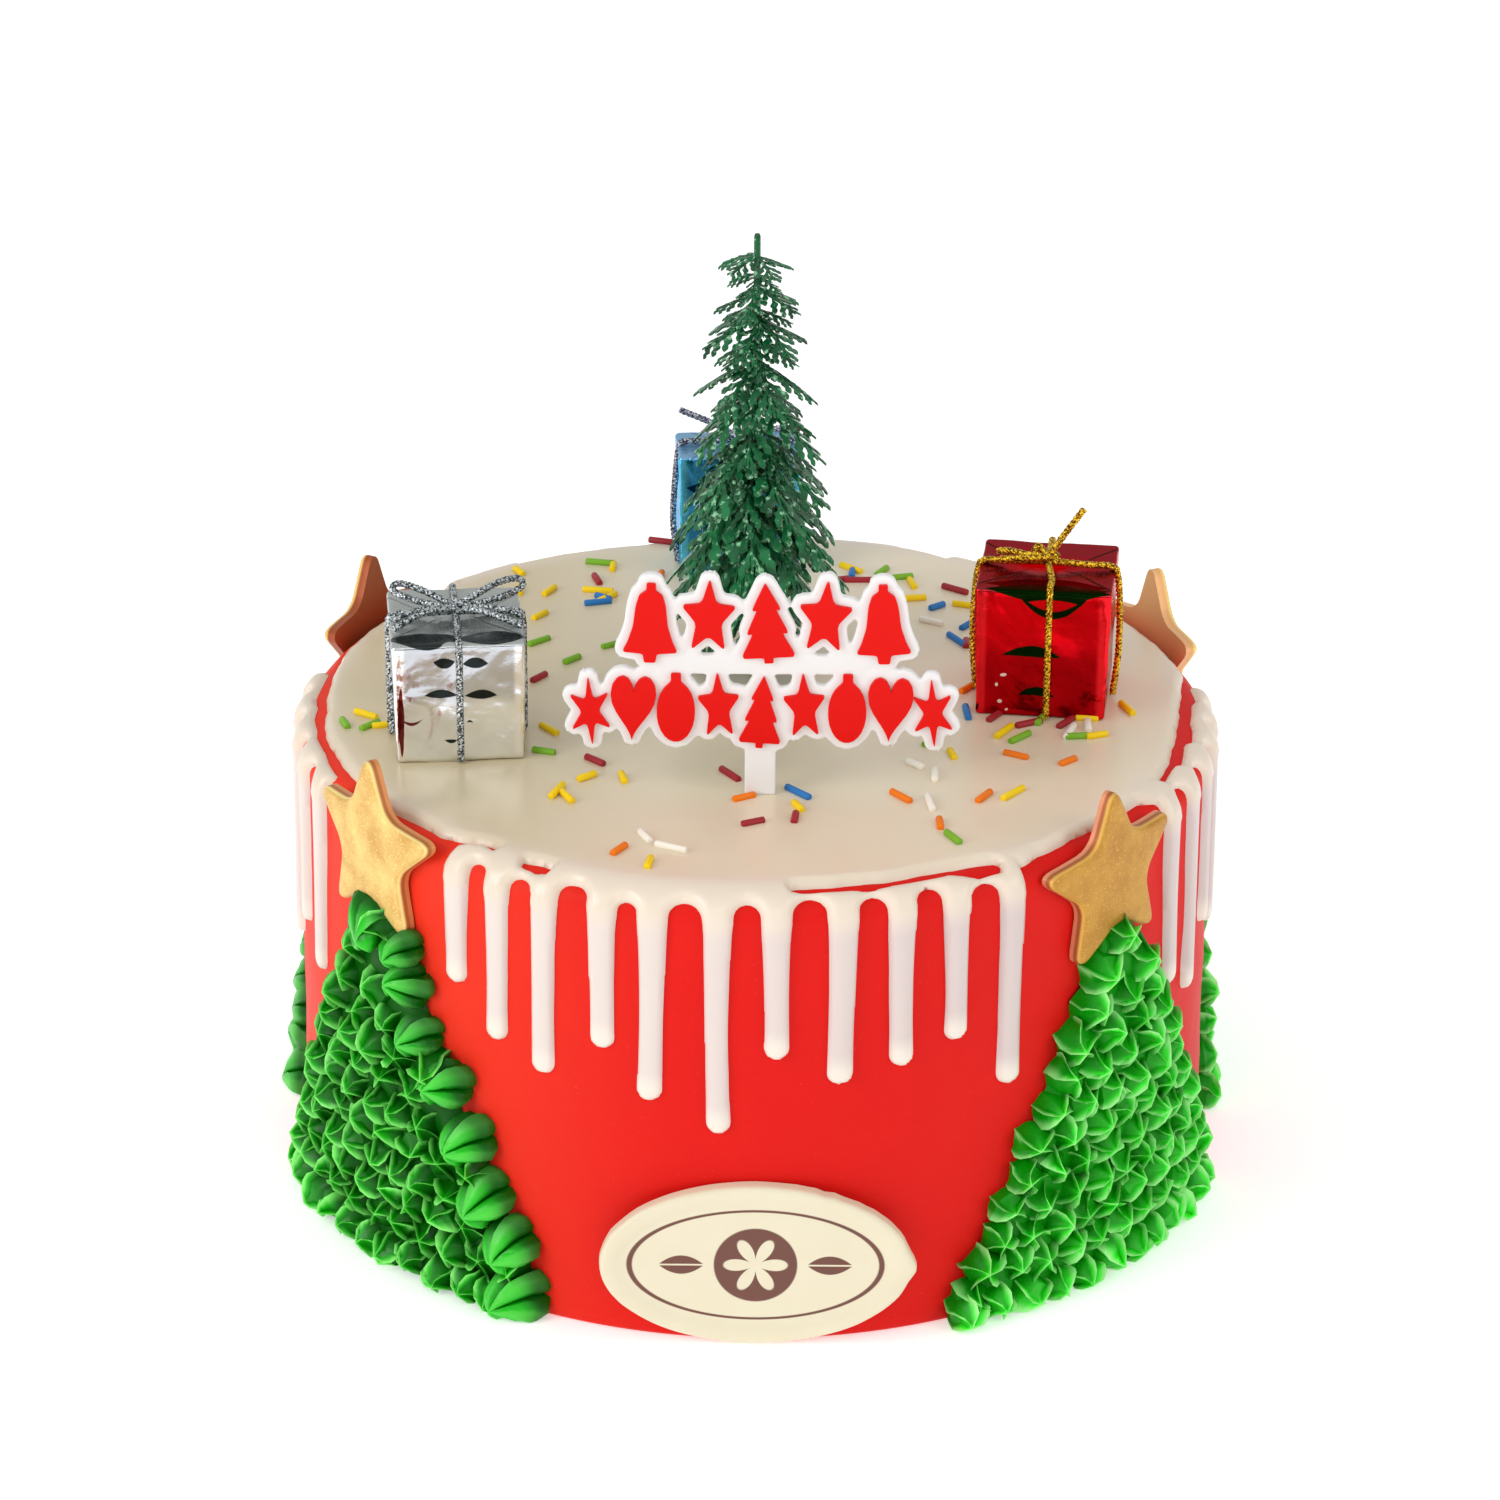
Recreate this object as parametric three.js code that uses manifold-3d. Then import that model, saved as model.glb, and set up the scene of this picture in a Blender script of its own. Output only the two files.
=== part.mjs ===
// A round Christmas cake: red iced sides, a poured cream glaze with drips and sugar strands, four piped
// buttercream trees under gold fondant stars, a white chocolate plaque and a set of plastic toppers.
// Millimetres, +Z up. The origin is the centre of the cake's base and the front faces -Y.
import * as THREE from "three";
import { mergeVertices } from "three/addons/utils/BufferGeometryUtils.js";
import { RoundedBoxGeometry } from "three/addons/geometries/RoundedBoxGeometry.js";
import Module from "manifold-3d";

const wasm = await Module();
wasm.setup();

// Driving dimensions
const cakeTopRadius = 105;
const cakeFootRadius = 106.4;
const cakeHeight = 106.4;
const rimRound = 6;
const facets = 60; // sides of every round that runs about the cake's axis
const gap = 0.35; // air left between neighbouring pieces
const glazeThickness = 1.85;
const sheetEdge = 101.6; // path from the middle of the top out to the edge of the poured sheet
const dripWidth = 6.1;
const dripThickness = 1.7;
const dripPitch = 7.1; // degrees from one drip to the next where the row isn't the front one
const treeWidth = 95;
const treeHeight = 87;
const treeTopWidth = 20;
const rosettePitch = 7.3;
const rosetteHeight = 7.8; // of a rosette's peak above the icing
const rosetteFold = 4.2; // of the ridges between rosettes
const rosetteValley = 2.4; // of the hollows between them
const starRadius = 21;
const starWaist = 0.47; // inner radius over outer radius
const starThickness = 4.4;
const starMiddle = 102; // height of a star's middle above the base
const plaqueWidth = 68.2;
const plaqueHeight = 39.2;
const plaqueThickness = 3;
const firHeight = 106;
const firPlace = [-0.4, 15];
const cordThickness = 1.6;

// Worked out from them
const flatRadius = cakeTopRadius - rimRound;
const rimPath = (rimRound * Math.PI) / 2;
const sideHeight = cakeHeight - rimRound;
const glazeTop = cakeHeight + gap + glazeThickness;
const standing = glazeTop + gap; // height of the foot of whatever stands on the glaze
const degrees = THREE.MathUtils.degToRad;

const colours = {
  icing: { color: 0xdd2417, roughness: 0.55 },
  glaze: { color: 0xe9dfca, roughness: 0.22 },
  buttercream: { color: 0x1f8a2b, roughness: 0.45 },
  gold: { color: 0xcf9a49, roughness: 0.42, metalness: 0.35 },
  chocolate: { color: 0xf0e6cc, roughness: 0.4 },
  whitePlastic: { color: 0xf4f2ee, roughness: 0.3 },
  greenPlastic: { color: 0x17533a, roughness: 0.4 },
  silverFoil: { color: 0xd8d8dc, roughness: 0.15, metalness: 1 },
  redFoil: { color: 0xb20b14, roughness: 0.15, metalness: 1 },
  blueFoil: { color: 0x2a6fae, roughness: 0.15, metalness: 1 },
  goldCord: { color: 0xc9961c, roughness: 0.4, metalness: 0.8 },
  silverCord: { color: 0xb9bcc2, roughness: 0.4, metalness: 0.8 },
};

// A repeatable series of random numbers from 0 to 1
function series(seed) {
  let state = seed;
  return () => {
    state = (state * 1664525 + 1013904223) % 4294967296;
    return state / 4294967296;
  };
}

const between = (draw, low, high) => low + (high - low) * draw();

// Solids: a closed three.js geometry becomes a solid that can be joined and cut
function solid(geometry) {
  const bare = geometry.index ? geometry.toNonIndexed() : geometry.clone();
  for (const name of Object.keys(bare.attributes)) if (name !== "position") bare.deleteAttribute(name);
  const merged = mergeVertices(bare, 1e-3);
  return new wasm.Manifold(
    new wasm.Mesh({
      numProp: 3,
      vertProperties: merged.attributes.position.array,
      triVerts: new Uint32Array(merged.index.array),
    }),
  );
}

const joined = (solids) => solids.reduce((whole, next) => whole.add(next));

function meshOf(name, made, colour) {
  let geometry = made;
  if (!made.isBufferGeometry) {
    const mesh = made.getMesh();
    geometry = new THREE.BufferGeometry()
      .setAttribute("position", new THREE.BufferAttribute(new Float32Array(mesh.vertProperties), 3))
      .setIndex(new THREE.BufferAttribute(new Uint32Array(mesh.triVerts), 1));
  }
  geometry.computeVertexNormals();
  const mesh = new THREE.Mesh(geometry, new THREE.MeshStandardMaterial(colours[colour]));
  mesh.name = name;
  return mesh;
}

// A closed body from rings of points: each ring has the same count, and the two ends are closed
function loft(rings) {
  const count = rings[0].length;
  const points = rings.flat();
  const index = [];
  for (let ring = 0; ring + 1 < rings.length; ring++)
    for (let i = 0; i < count; i++) {
      const a = ring * count + i;
      const b = ring * count + ((i + 1) % count);
      index.push(a, b, b + count, a, b + count, a + count);
    }
  const last = (rings.length - 1) * count;
  for (let i = 1; i + 1 < count; i++) {
    index.push(0, i + 1, i);
    index.push(last, last + i, last + i + 1);
  }
  return new THREE.BufferGeometry().setFromPoints(points).setIndex(index);
}

// Extruded outline, laid so that the outline's x and y stay and the thickness runs from z = 0
function plate(outline, depth, curveSegments = 6) {
  return new THREE.ExtrudeGeometry(outline, { depth, bevelEnabled: false, curveSegments });
}

// Stands an outline drawn in x and y at an azimuth of the cake, its thickness running outwards from radius
function standUp(geometry, azimuth, radius) {
  return geometry.rotateX(Math.PI / 2).translate(0, -radius, 0).rotateZ(azimuth);
}

// The iced surface: path is the way from the top's middle outwards and down, proud the height above it
function profile(path, proud) {
  if (path <= flatRadius) return [path, cakeHeight + proud];
  const turn = Math.min((path - flatRadius) / rimRound, Math.PI / 2);
  const down = Math.max(path - flatRadius - rimPath, 0);
  const taper = ((cakeFootRadius - cakeTopRadius) * down) / sideHeight;
  return [
    flatRadius + (rimRound + proud) * Math.sin(turn) + taper,
    sideHeight + (rimRound + proud) * Math.cos(turn) - down,
  ];
}

function onIcing(azimuth, path, proud) {
  const [radius, z] = profile(path, proud);
  return new THREE.Vector3(radius * Math.sin(azimuth), -radius * Math.cos(azimuth), z);
}

// A hollow cylinder about the cake's axis, to cut pieces that follow its side
function shell(inner, thickness, low, high) {
  const wall = [
    [inner, low],
    [inner + thickness, low],
    [inner + thickness, high],
    [inner, high],
    [inner, low],
  ].map(([r, z]) => new THREE.Vector2(r, z));
  return solid(new THREE.LatheGeometry(wall, facets).rotateX(Math.PI / 2));
}

function makeCake() {
  const rimSteps = 4;
  const wall = [new THREE.Vector2(0, 0), new THREE.Vector2(cakeFootRadius, 0)];
  for (let step = 0; step <= rimSteps; step++) {
    const [radius, z] = profile(flatRadius + rimPath * (1 - step / rimSteps), 0);
    wall.push(new THREE.Vector2(radius, z));
  }
  wall.push(new THREE.Vector2(0, cakeHeight));
  return meshOf("cake", solid(new THREE.LatheGeometry(wall, facets).rotateX(Math.PI / 2)), "icing");
}

// Drips: the front row as on the cake, with azimuth and the height of the tip, the others by rule
const frontDrips = [
  [-37.7, 76],
  [-31.7, 65.3],
  [-25.3, 60.1],
  [-18, 69.1],
  [-11.9, 57.9],
  [-4.2, 51],
  [2.6, 69],
  [10.4, 62.5],
  [17.5, 65.3],
  [24.3, 69.3],
  [31.8, 55.7],
];
const dripRows = [
  { from: -97.5, to: -69.3, lowest: 52, highest: 72 },
  { from: 64.2, to: 95.5, lowest: 56, highest: 70 },
  { from: 134, to: 225, lowest: 50, highest: 76 },
];
const slit = { from: 3, to: 31, depth: 2.3 }; // where the front row has run clear of the sheet

function dripPlaces() {
  const draw = series(11);
  const rows = [frontDrips];
  for (const { from, to, lowest, highest } of dripRows) {
    const count = Math.round((to - from) / dripPitch);
    const row = [];
    for (let i = 0; i <= count; i++) {
      const wander = i % count ? between(draw, -0.8, 0.8) : 0;
      row.push([from + ((to - from) * i) / count + wander, between(draw, lowest, highest)]);
    }
    rows.push(row);
  }
  return rows;
}

const rimGap = 0.8; // under the necks, whose flat facets cross the round of the rim
const neckOverlap = 0.7; // of a neck and its neighbour

// One drip: neck from the sheet over the rim, as wide as its neighbours leave, then a strip with a round end.
// A station holds its path, the reach to the left and right, and the thickness and the air under it
function drip(azimuth, tipHeight, leftNeck, rightNeck) {
  const tip = flatRadius + rimPath + sideHeight - tipHeight;
  const half = dripWidth / 2;
  const inSlit = azimuth > slit.from && azimuth < slit.to;
  const start = sheetEdge + (inSlit ? slit.depth : -2);
  const arch = flatRadius + rimPath * (inSlit ? 0.66 : 0.58);
  const stations = [
    [start, leftNeck, rightNeck, 0.8, rimGap],
    [arch, leftNeck, rightNeck, 1, rimGap],
    [flatRadius + rimPath, half * 1.15, half * 1.15, 1, gap],
    [tip - half, half, half, 1.1, gap],
    [tip, half * 0.4, half * 0.4, 0.7, gap],
  ];
  return solid(
    loft(
      stations.map(([path, left, right, thick, under]) => {
        const proud = gap + dripThickness * thick;
        const at = (across, height) => onIcing(degrees(azimuth) + across / cakeTopRadius, path, height);
        return [at(-left, under), at(right, under), at(right * 0.6, proud), at(-left * 0.6, proud)];
      }),
    ),
  );
}

function makeDrips() {
  const drips = [];
  for (const row of dripPlaces())
    row.forEach(([azimuth, tipHeight], i) => {
      const half = (a, b) => (degrees(Math.abs(a - b)) * cakeTopRadius) / 2 + neckOverlap;
      const left = i ? half(azimuth, row[i - 1][0]) : dripWidth * 0.7;
      const right = i + 1 < row.length ? half(row[i + 1][0], azimuth) : dripWidth * 0.7;
      drips.push(drip(azimuth, tipHeight, left, right));
    });
  return drips;
}

function makeSheet() {
  const inside = flatRadius - 2;
  const wall = [
    [0, gap],
    [inside, gap],
    [sheetEdge - 0.5, gap],
    [sheetEdge, gap + glazeThickness * 0.5],
    [sheetEdge - 1, gap + glazeThickness * 0.93],
    [inside, gap + glazeThickness],
    [0, gap + glazeThickness],
  ].map(([path, proud]) => new THREE.Vector2(...profile(path, proud)));
  return solid(new THREE.LatheGeometry(wall, facets).rotateX(Math.PI / 2));
}

// Places on the top that other pieces stand on: x, y and a clear radius about them
const silverGift = { place: [-67.4, -23], size: [28.5, 32.5, 27.5], turn: 6 };
const redGift = { place: [66.7, 2.8], size: [29.6, 30, 31.3], turn: -7 };
const blueGift = { place: [-4, 83], size: [31, 18, 31], turn: 4 };
const signPlace = [1.1, -54.9];
const taken = [
  [...silverGift.place, 24],
  [...redGift.place, 23.5],
  [...blueGift.place, 20],
  [...signPlace, 6],
  [...firPlace, 5],
];

// Sugar strands: patches of x, y, radius and count, with the strands of a patch drawn evenly over it
const strandPatches = [
  [8, -72, 13, 8],
  [-36, -70, 12, 5],
  [46, -52, 22, 12],
  [66, -28, 10, 4],
  [-44, 6, 14, 4],
  [-92, -22, 6, 2],
  [-40, 62, 24, 8],
  [36, 50, 30, 10],
  [44, 0, 10, 2],
];
const strandWidth = 1.9;

function strandPlaces() {
  const draw = series(5);
  const places = [];
  for (const [x, y, radius, count] of strandPatches) {
    let left = count;
    for (let tries = 0; left && tries < 400; tries++) {
      const turn = between(draw, 0, Math.PI * 2);
      const away = radius * Math.sqrt(draw());
      const spot = {
        x: x + away * Math.cos(turn),
        y: y + away * Math.sin(turn),
        turn: between(draw, 0, Math.PI),
        length: between(draw, 4.4, 7.6),
      };
      const near = (px, py, reach) => Math.hypot(px - spot.x, py - spot.y) < reach;
      if (Math.hypot(spot.x, spot.y) > flatRadius - 5) continue;
      if (taken.some(([px, py, reach]) => near(px, py, reach))) continue;
      if (places.some((other) => near(other.x, other.y, 6))) continue;
      places.push(spot);
      left -= 1;
    }
  }
  return places;
}

function makeStrands() {
  return strandPlaces().map(({ x, y, turn, length }) => {
    const rod = new THREE.CylinderGeometry(strandWidth / 2, strandWidth / 2, length, 6);
    return solid(rod.rotateZ(Math.PI / 2).rotateZ(turn).translate(x, y, glazeTop + strandWidth * 0.22));
  });
}

function makeGlaze() {
  return meshOf("glaze", joined([makeSheet(), ...makeDrips(), ...makeStrands()]), "glaze");
}

// Piped buttercream trees: peaks on a triangular lattice that loses one peak a row towards the top, with a
// hollow or a fold in the middle of every three peaks and a skirt that meets the icing round the outside
const trees = [
  { name: "piped_tree_1", azimuth: -50.1, seed: 21, bigEdge: true },
  { name: "piped_tree_2", azimuth: 49.4, seed: 22 },
  { name: "piped_tree_3", azimuth: 116, seed: 23 },
  { name: "piped_tree_4", azimuth: -119, seed: 24, bigEdge: true },
];
const footPeaks = Math.round(treeWidth / rosettePitch);
const topPeaks = Math.round(treeTopWidth / rosettePitch);
const peakRows = footPeaks - topPeaks + 1;
const skirt = rosettePitch * 0.55; // from the outermost peaks to the edge
const treeFoot = 0.6; // height of the lowest buttercream above the base
const rosetteJitter = 0.7; // how far a peak strays from its place
const bigRosette = 1.22; // height of the large rosettes on an edge, over the common height
const footDroop = 0.22; // share of a hollow's height lost for each of its corners on the skirt

// Nodes of the lattice: row -1 and the row past the last, and the ends of each row, are the skirt
function latticeNodes({ bigEdge }, draw) {
  const rows = [];
  const rise = (treeHeight - treeFoot - 2 * skirt) / (peakRows - 1);
  for (let row = -1; row <= peakRows; row++) {
    const outer = row < 0 || row === peakRows;
    const level = Math.min(Math.max(row, 0), peakRows - 1);
    const half = treeWidth / 2 - skirt + ((treeTopWidth - treeWidth) / 2) * (level / (peakRows - 1));
    const z = treeFoot + skirt + rise * level + (outer ? Math.sign(row + 0.5) * skirt : 0);
    const count = footPeaks + 1 - row;
    const middle = (count - 1) / 2;
    const nodes = [];
    for (let i = 0; i < count; i++) {
      const foot = outer || i === 0 || i === count - 1;
      const across = foot ? ((i - middle) / middle) * (half + skirt) : ((i - middle) / (middle - 1)) * half;
      const jitter = foot ? 0 : rosetteJitter;
      const tall = bigEdge && i === count - 2 ? bigRosette : between(draw, 0.86, 1.1);
      nodes.push({
        across: across + between(draw, -jitter, jitter),
        z: z + between(draw, -jitter, jitter),
        proud: foot ? 0 : rosetteHeight * tall,
        foot,
      });
    }
    rows.push(nodes);
  }
  return rows;
}

function makeTree(tree) {
  const middle = degrees(tree.azimuth);
  const rows = latticeNodes(tree, series(tree.seed));
  const points = [];
  const index = [];
  const place = ({ across, z, proud }) => {
    const azimuth = middle + across / cakeFootRadius;
    const radius = cakeFootRadius + gap + proud;
    points.push(new THREE.Vector3(radius * Math.sin(azimuth), -radius * Math.cos(azimuth), z));
    return points.length - 1;
  };
  for (const node of rows.flat()) {
    node.front = place(node);
    node.back = node.foot ? node.front : place({ ...node, proud: 0 });
  }
  const edges = new Map();
  const addCell = (corners, fold) => {
    const mean = (key) => corners.reduce((sum, corner) => sum + corner[key], 0) / 3;
    const feet = corners.filter((corner) => corner.foot).length;
    const proud = (fold ? rosetteFold : rosetteValley) * (1 - feet * footDroop);
    const hollow = place({ across: mean("across"), z: mean("z"), proud });
    index.push(...corners.map((corner) => corner.back).reverse());
    corners.forEach((from, i) => {
      const to = corners[(i + 1) % 3];
      const key = [from.front, to.front].sort((a, b) => a - b).join(" ");
      if (edges.has(key)) {
        const { hollow: other } = edges.get(key);
        index.push(from.front, other, hollow, to.front, hollow, other);
        edges.delete(key);
      } else edges.set(key, { from, to, hollow });
    });
  };
  for (let row = 0; row + 1 < rows.length; row++) {
    const low = rows[row];
    const high = rows[row + 1];
    high.forEach((node, i) => {
      addCell([low[i], low[i + 1], node], false);
      if (i + 1 < high.length) addCell([low[i + 1], high[i + 1], node], true);
    });
  }
  for (const { from, to, hollow } of edges.values()) index.push(from.front, to.front, hollow);
  const body = new THREE.BufferGeometry().setFromPoints(points).setIndex(index);
  const star = starSolid(stars[trees.indexOf(tree)], gap);
  return meshOf(tree.name, solid(body).subtract(star), "buttercream");
}

// Fondant stars, each over the top of a tree: azimuth, tilt and the height of its middle
const stars = [
  { name: "star_1", azimuth: -51.3, tilt: 0, lift: 0 },
  { name: "star_2", azimuth: 46.2, tilt: 6, lift: -3.2 },
  { name: "star_3", azimuth: 116, tilt: -4, lift: -1 },
  { name: "star_4", azimuth: -119, tilt: 3, lift: -1 },
];

function starOutline(radius, rounding) {
  const shape = new THREE.Shape();
  const corner = (i) => {
    const turn = Math.PI / 2 + (i * Math.PI) / 5;
    return new THREE.Vector2(Math.cos(turn), Math.sin(turn)).multiplyScalar(radius * (i % 2 ? starWaist : 1));
  };
  for (let i = 0; i < 10; i += 2) {
    const waist = corner(i + 9);
    const tip = corner(i);
    const start = tip.clone().lerp(waist, rounding);
    const end = tip.clone().lerp(corner(i + 1), rounding);
    if (i) shape.lineTo(waist.x, waist.y);
    else shape.moveTo(waist.x, waist.y);
    shape.lineTo(start.x, start.y);
    shape.quadraticCurveTo(tip.x, tip.y, end.x, end.y);
  }
  return shape;
}

function starSolid({ azimuth, tilt, lift }, grow) {
  const depth = 40;
  const flat = plate(starOutline(starRadius + grow * 1.6, 0.2), depth, 2).rotateZ(degrees(tilt));
  flat.translate(0, starMiddle + lift, 0);
  const blank = solid(standUp(flat, degrees(azimuth), cakeTopRadius - depth / 2));
  const inner = cakeTopRadius + 0.3 + gap;
  return shell(inner - grow, starThickness + 2 * grow, 60, 140).intersect(blank);
}

function makePlaque() {
  const oval = new THREE.Shape();
  const bevel = 0.9;
  oval.absellipse(0, 0, plaqueWidth / 2 - bevel, plaqueHeight / 2 - bevel, 0, Math.PI * 2);
  const options = {
    depth: plaqueThickness - 2 * bevel,
    bevelSize: bevel,
    bevelThickness: bevel,
    bevelSegments: 1,
    curveSegments: 14,
  };
  const body = new THREE.ExtrudeGeometry(oval, options).translate(0, 0, bevel);
  const stood = body.rotateX(Math.PI / 2).translate(0.9, 0, plaqueHeight / 2 + 0.6);
  return meshOf("plaque", stood.translate(0, -(cakeFootRadius + gap), 0), "chocolate");
}

const toppers = new THREE.Group();

// The topper: raised festive shapes in two rows on a white backing, over one flat stake
const signThickness = 2.2;
const motifRelief = 0.9;
const backingMargin = 1.9;
const signFoot = { width: 6.8, height: 14 };

const polar = (radius, turn) => new THREE.Vector2(radius * Math.cos(turn), radius * Math.sin(turn));

// Outlines of the shapes, each about 2 units across, as lists of points from a rule
const motifs = {
  star: () => Array.from({ length: 10 }, (_, i) => polar(i % 2 ? 0.45 : 1, Math.PI / 2 + (i * Math.PI) / 5)),
  flake: () => Array.from({ length: 12 }, (_, i) => polar(i % 2 ? 0.34 : 1, Math.PI / 2 + (i * Math.PI) / 6)),
  bauble: () => Array.from({ length: 10 }, (_, i) => polar(i ? 0.82 : 1.1, Math.PI / 2 + (i * Math.PI) / 5)),
  heart: () =>
    Array.from({ length: 12 }, (_, i) => {
      const turn = (i * Math.PI) / 6;
      const y = 13 * Math.cos(turn) - 5 * Math.cos(2 * turn) - 2 * Math.cos(3 * turn) - Math.cos(4 * turn);
      return new THREE.Vector2(-Math.pow(Math.sin(turn), 3), y / 16 + 0.1);
    }),
  bell: () => {
    const side = [
      [0.16, 1],
      [0.46, 0.66],
      [0.56, -0.2],
      [0.95, -0.72],
    ];
    const left = side.map(([x, y]) => new THREE.Vector2(-x, y));
    const right = side.map(([x, y]) => new THREE.Vector2(x, y)).reverse();
    return [...left, new THREE.Vector2(0, -1), ...right];
  },
  fir: () => {
    const side = [
      [0.55, 0.3],
      [0.3, 0.3],
      [0.75, -0.25],
      [0.45, -0.25],
      [0.95, -0.95],
    ];
    const left = side.map(([x, y]) => new THREE.Vector2(-x, y));
    const right = side.map(([x, y]) => new THREE.Vector2(x, y)).reverse();
    return [new THREE.Vector2(0, 1), ...left, ...right];
  },
};

// Rows of the sign: height of the row's middle above the stake's foot, its ends, and the shapes in it
const signRows = [
  { z: 39.3, left: -24, right: 26.5, size: [5.6, 8.6], names: ["bell", "star", "fir", "star", "bell"] },
  {
    z: 20.4,
    left: -37.2,
    right: 37.6,
    size: [4.5, 8],
    names: ["flake", "heart", "bauble", "star", "fir", "star", "bauble", "heart", "flake"],
  },
];

function motifPlate(name, x, z, size) {
  const [halfWidth, halfHeight] = size;
  const outline = motifs[name]().map(
    (point) => new THREE.Vector2(x + point.x * halfWidth, z + point.y * halfHeight),
  );
  const sunk = signThickness * 0.25; // into the backing
  const raised = plate(new THREE.Shape(outline), motifRelief + sunk);
  return solid(raised.translate(0, 0, signThickness - sunk));
}

function backingPlate(x, z, size, wobble) {
  const [halfWidth, halfHeight] = size;
  const outline = Array.from({ length: 8 }, (_, i) => {
    const point = polar(1, Math.PI / 8 + (i * Math.PI) / 4);
    const stretch = i % 2 ? 1 : 1 + wobble;
    const square = 1 / Math.max(Math.abs(point.x), Math.abs(point.y)) ** 0.55;
    const reachX = (halfWidth + backingMargin) * square * stretch;
    const reachZ = (halfHeight + backingMargin) * square * stretch;
    return new THREE.Vector2(x + point.x * reachX, z + point.y * reachZ);
  });
  return solid(plate(new THREE.Shape(outline), signThickness));
}

function makeSign() {
  const pieces = [];
  for (const { z, left, right, size, names } of signRows)
    names.forEach((name, i) => {
      const x = left + ((right - left) * i) / (names.length - 1);
      const rise = z + (i % 2 ? 0.7 : -0.5);
      pieces.push(backingPlate(x, rise, size, i % 2 ? 0.02 : -0.04));
      pieces.push(motifPlate(name, x, rise, size));
    });
  const { width, height } = signFoot;
  const stake = new THREE.BoxGeometry(width, height, signThickness);
  pieces.push(solid(stake.translate(0, height / 2, signThickness / 2)));
  const stood = joined(pieces)
    .rotate([90, 0, 0])
    .translate([signPlace[0], signPlace[1] + signThickness / 2, standing]);
  return meshOf("topper_sign", stood, "whitePlastic");
}

// The moulded fir: tiers of flat drooping fronds about a thin trunk. A tier is a thin skirt cut into fronds,
// each with a barb on both sides of its tip
const firTiers = [
  { tip: 97.5, reach: 9, fronds: 5 },
  { tip: 88, reach: 10.5, fronds: 5 },
  { tip: 79.5, reach: 13, fronds: 6 },
  { tip: 66.5, reach: 14.5, fronds: 6 },
  { tip: 54.5, reach: 16.5, fronds: 6 },
  { tip: 42.5, reach: 18.5, fronds: 7 },
  { tip: 31.5, reach: 21, fronds: 7 },
  { tip: 21, reach: 21.5, fronds: 7 },
  { tip: 11, reach: 20, fronds: 6 },
];
const firDrop = 0.5; // how far a frond's tip hangs, over its reach
const frondThickness = 0.9;
const trunkRadius = 1.7;
const frondCut = [
  [0, 0.2],
  [0.3, 0.74],
  [0.5, 1],
  [0.7, 0.7],
]; // one frond's edge: share of its angle, share of its reach

function firTier({ tip, reach, fronds }, draw) {
  const attach = tip + reach * firDrop;
  const edge = [];
  for (let i = 0; i < fronds; i++) {
    const long = reach * between(draw, 0.88, 1.06);
    const hang = between(draw, 0.94, 1.06);
    for (const [share, out] of frondCut) {
      const turn = ((i + share) * Math.PI * 2) / fronds;
      const radius = long * out;
      const z = attach - radius * firDrop * (share ? hang : 1);
      edge.push(new THREE.Vector3(radius * Math.cos(turn), radius * Math.sin(turn), z));
    }
  }
  const below = edge.map((point) => point.clone().setZ(point.z - frondThickness));
  const points = [...edge, ...below];
  points.push(new THREE.Vector3(0, 0, attach), new THREE.Vector3(0, 0, attach - frondThickness));
  const count = edge.length;
  const index = [];
  for (let i = 0; i < count; i++) {
    const next = (i + 1) % count;
    index.push(2 * count, i, next, 2 * count + 1, next + count, i + count);
    index.push(i, i + count, next + count, i, next + count, next);
  }
  return solid(new THREE.BufferGeometry().setFromPoints(points).setIndex(index));
}

function makeFir() {
  const draw = series(31);
  const trunkLine = [
    [0, 0],
    [trunkRadius, 0],
    [trunkRadius * 0.35, firHeight],
    [0, firHeight],
  ].map(([r, z]) => new THREE.Vector2(r, z));
  const pieces = [solid(new THREE.LatheGeometry(trunkLine, 4).rotateX(Math.PI / 2))];
  firTiers.forEach((tier, i) => pieces.push(firTier(tier, draw).rotate([0, 0, i * 37])));
  return meshOf("fir_tree", joined(pieces).translate([...firPlace, standing]), "greenPlastic");
}

// Gift boxes: a foil cube, and a cord tied round it with a bow
function stoodGift({ place, turn }, mesh) {
  const group = new THREE.Group();
  group.position.set(place[0], place[1], standing);
  group.rotation.z = degrees(turn);
  group.add(mesh);
  return group;
}

function makeGift(gift, name, colour) {
  const [width, depth, height] = gift.size;
  const box = new RoundedBoxGeometry(width, depth, height, 1, 1.1).translate(0, 0, height / 2);
  return stoodGift(gift, meshOf(name, box, colour));
}

// A flat band of cord up one side of the box, over the top and down the other
function band(reach, top, width) {
  const thick = width * 0.7;
  const outline = new THREE.Shape([
    new THREE.Vector2(-reach - thick, 0),
    new THREE.Vector2(-reach, 0),
    new THREE.Vector2(-reach, top),
    new THREE.Vector2(reach, top),
    new THREE.Vector2(reach, 0),
    new THREE.Vector2(reach + thick, 0),
    new THREE.Vector2(reach + thick, top + thick),
    new THREE.Vector2(-reach - thick, top + thick),
  ]);
  return plate(outline, width).translate(0, 0, -width / 2).rotateX(Math.PI / 2);
}

// A strand of the bow: a square tube through the points
function strand(points) {
  const curve = new THREE.CatmullRomCurve3(points.map((point) => new THREE.Vector3(...point)));
  const half = cordThickness * 0.42;
  const section = new THREE.Shape([
    new THREE.Vector2(-half, -half),
    new THREE.Vector2(half, -half),
    new THREE.Vector2(half, half),
    new THREE.Vector2(-half, half),
  ]);
  return solid(new THREE.ExtrudeGeometry(section, { steps: points.length, extrudePath: curve }));
}

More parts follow.
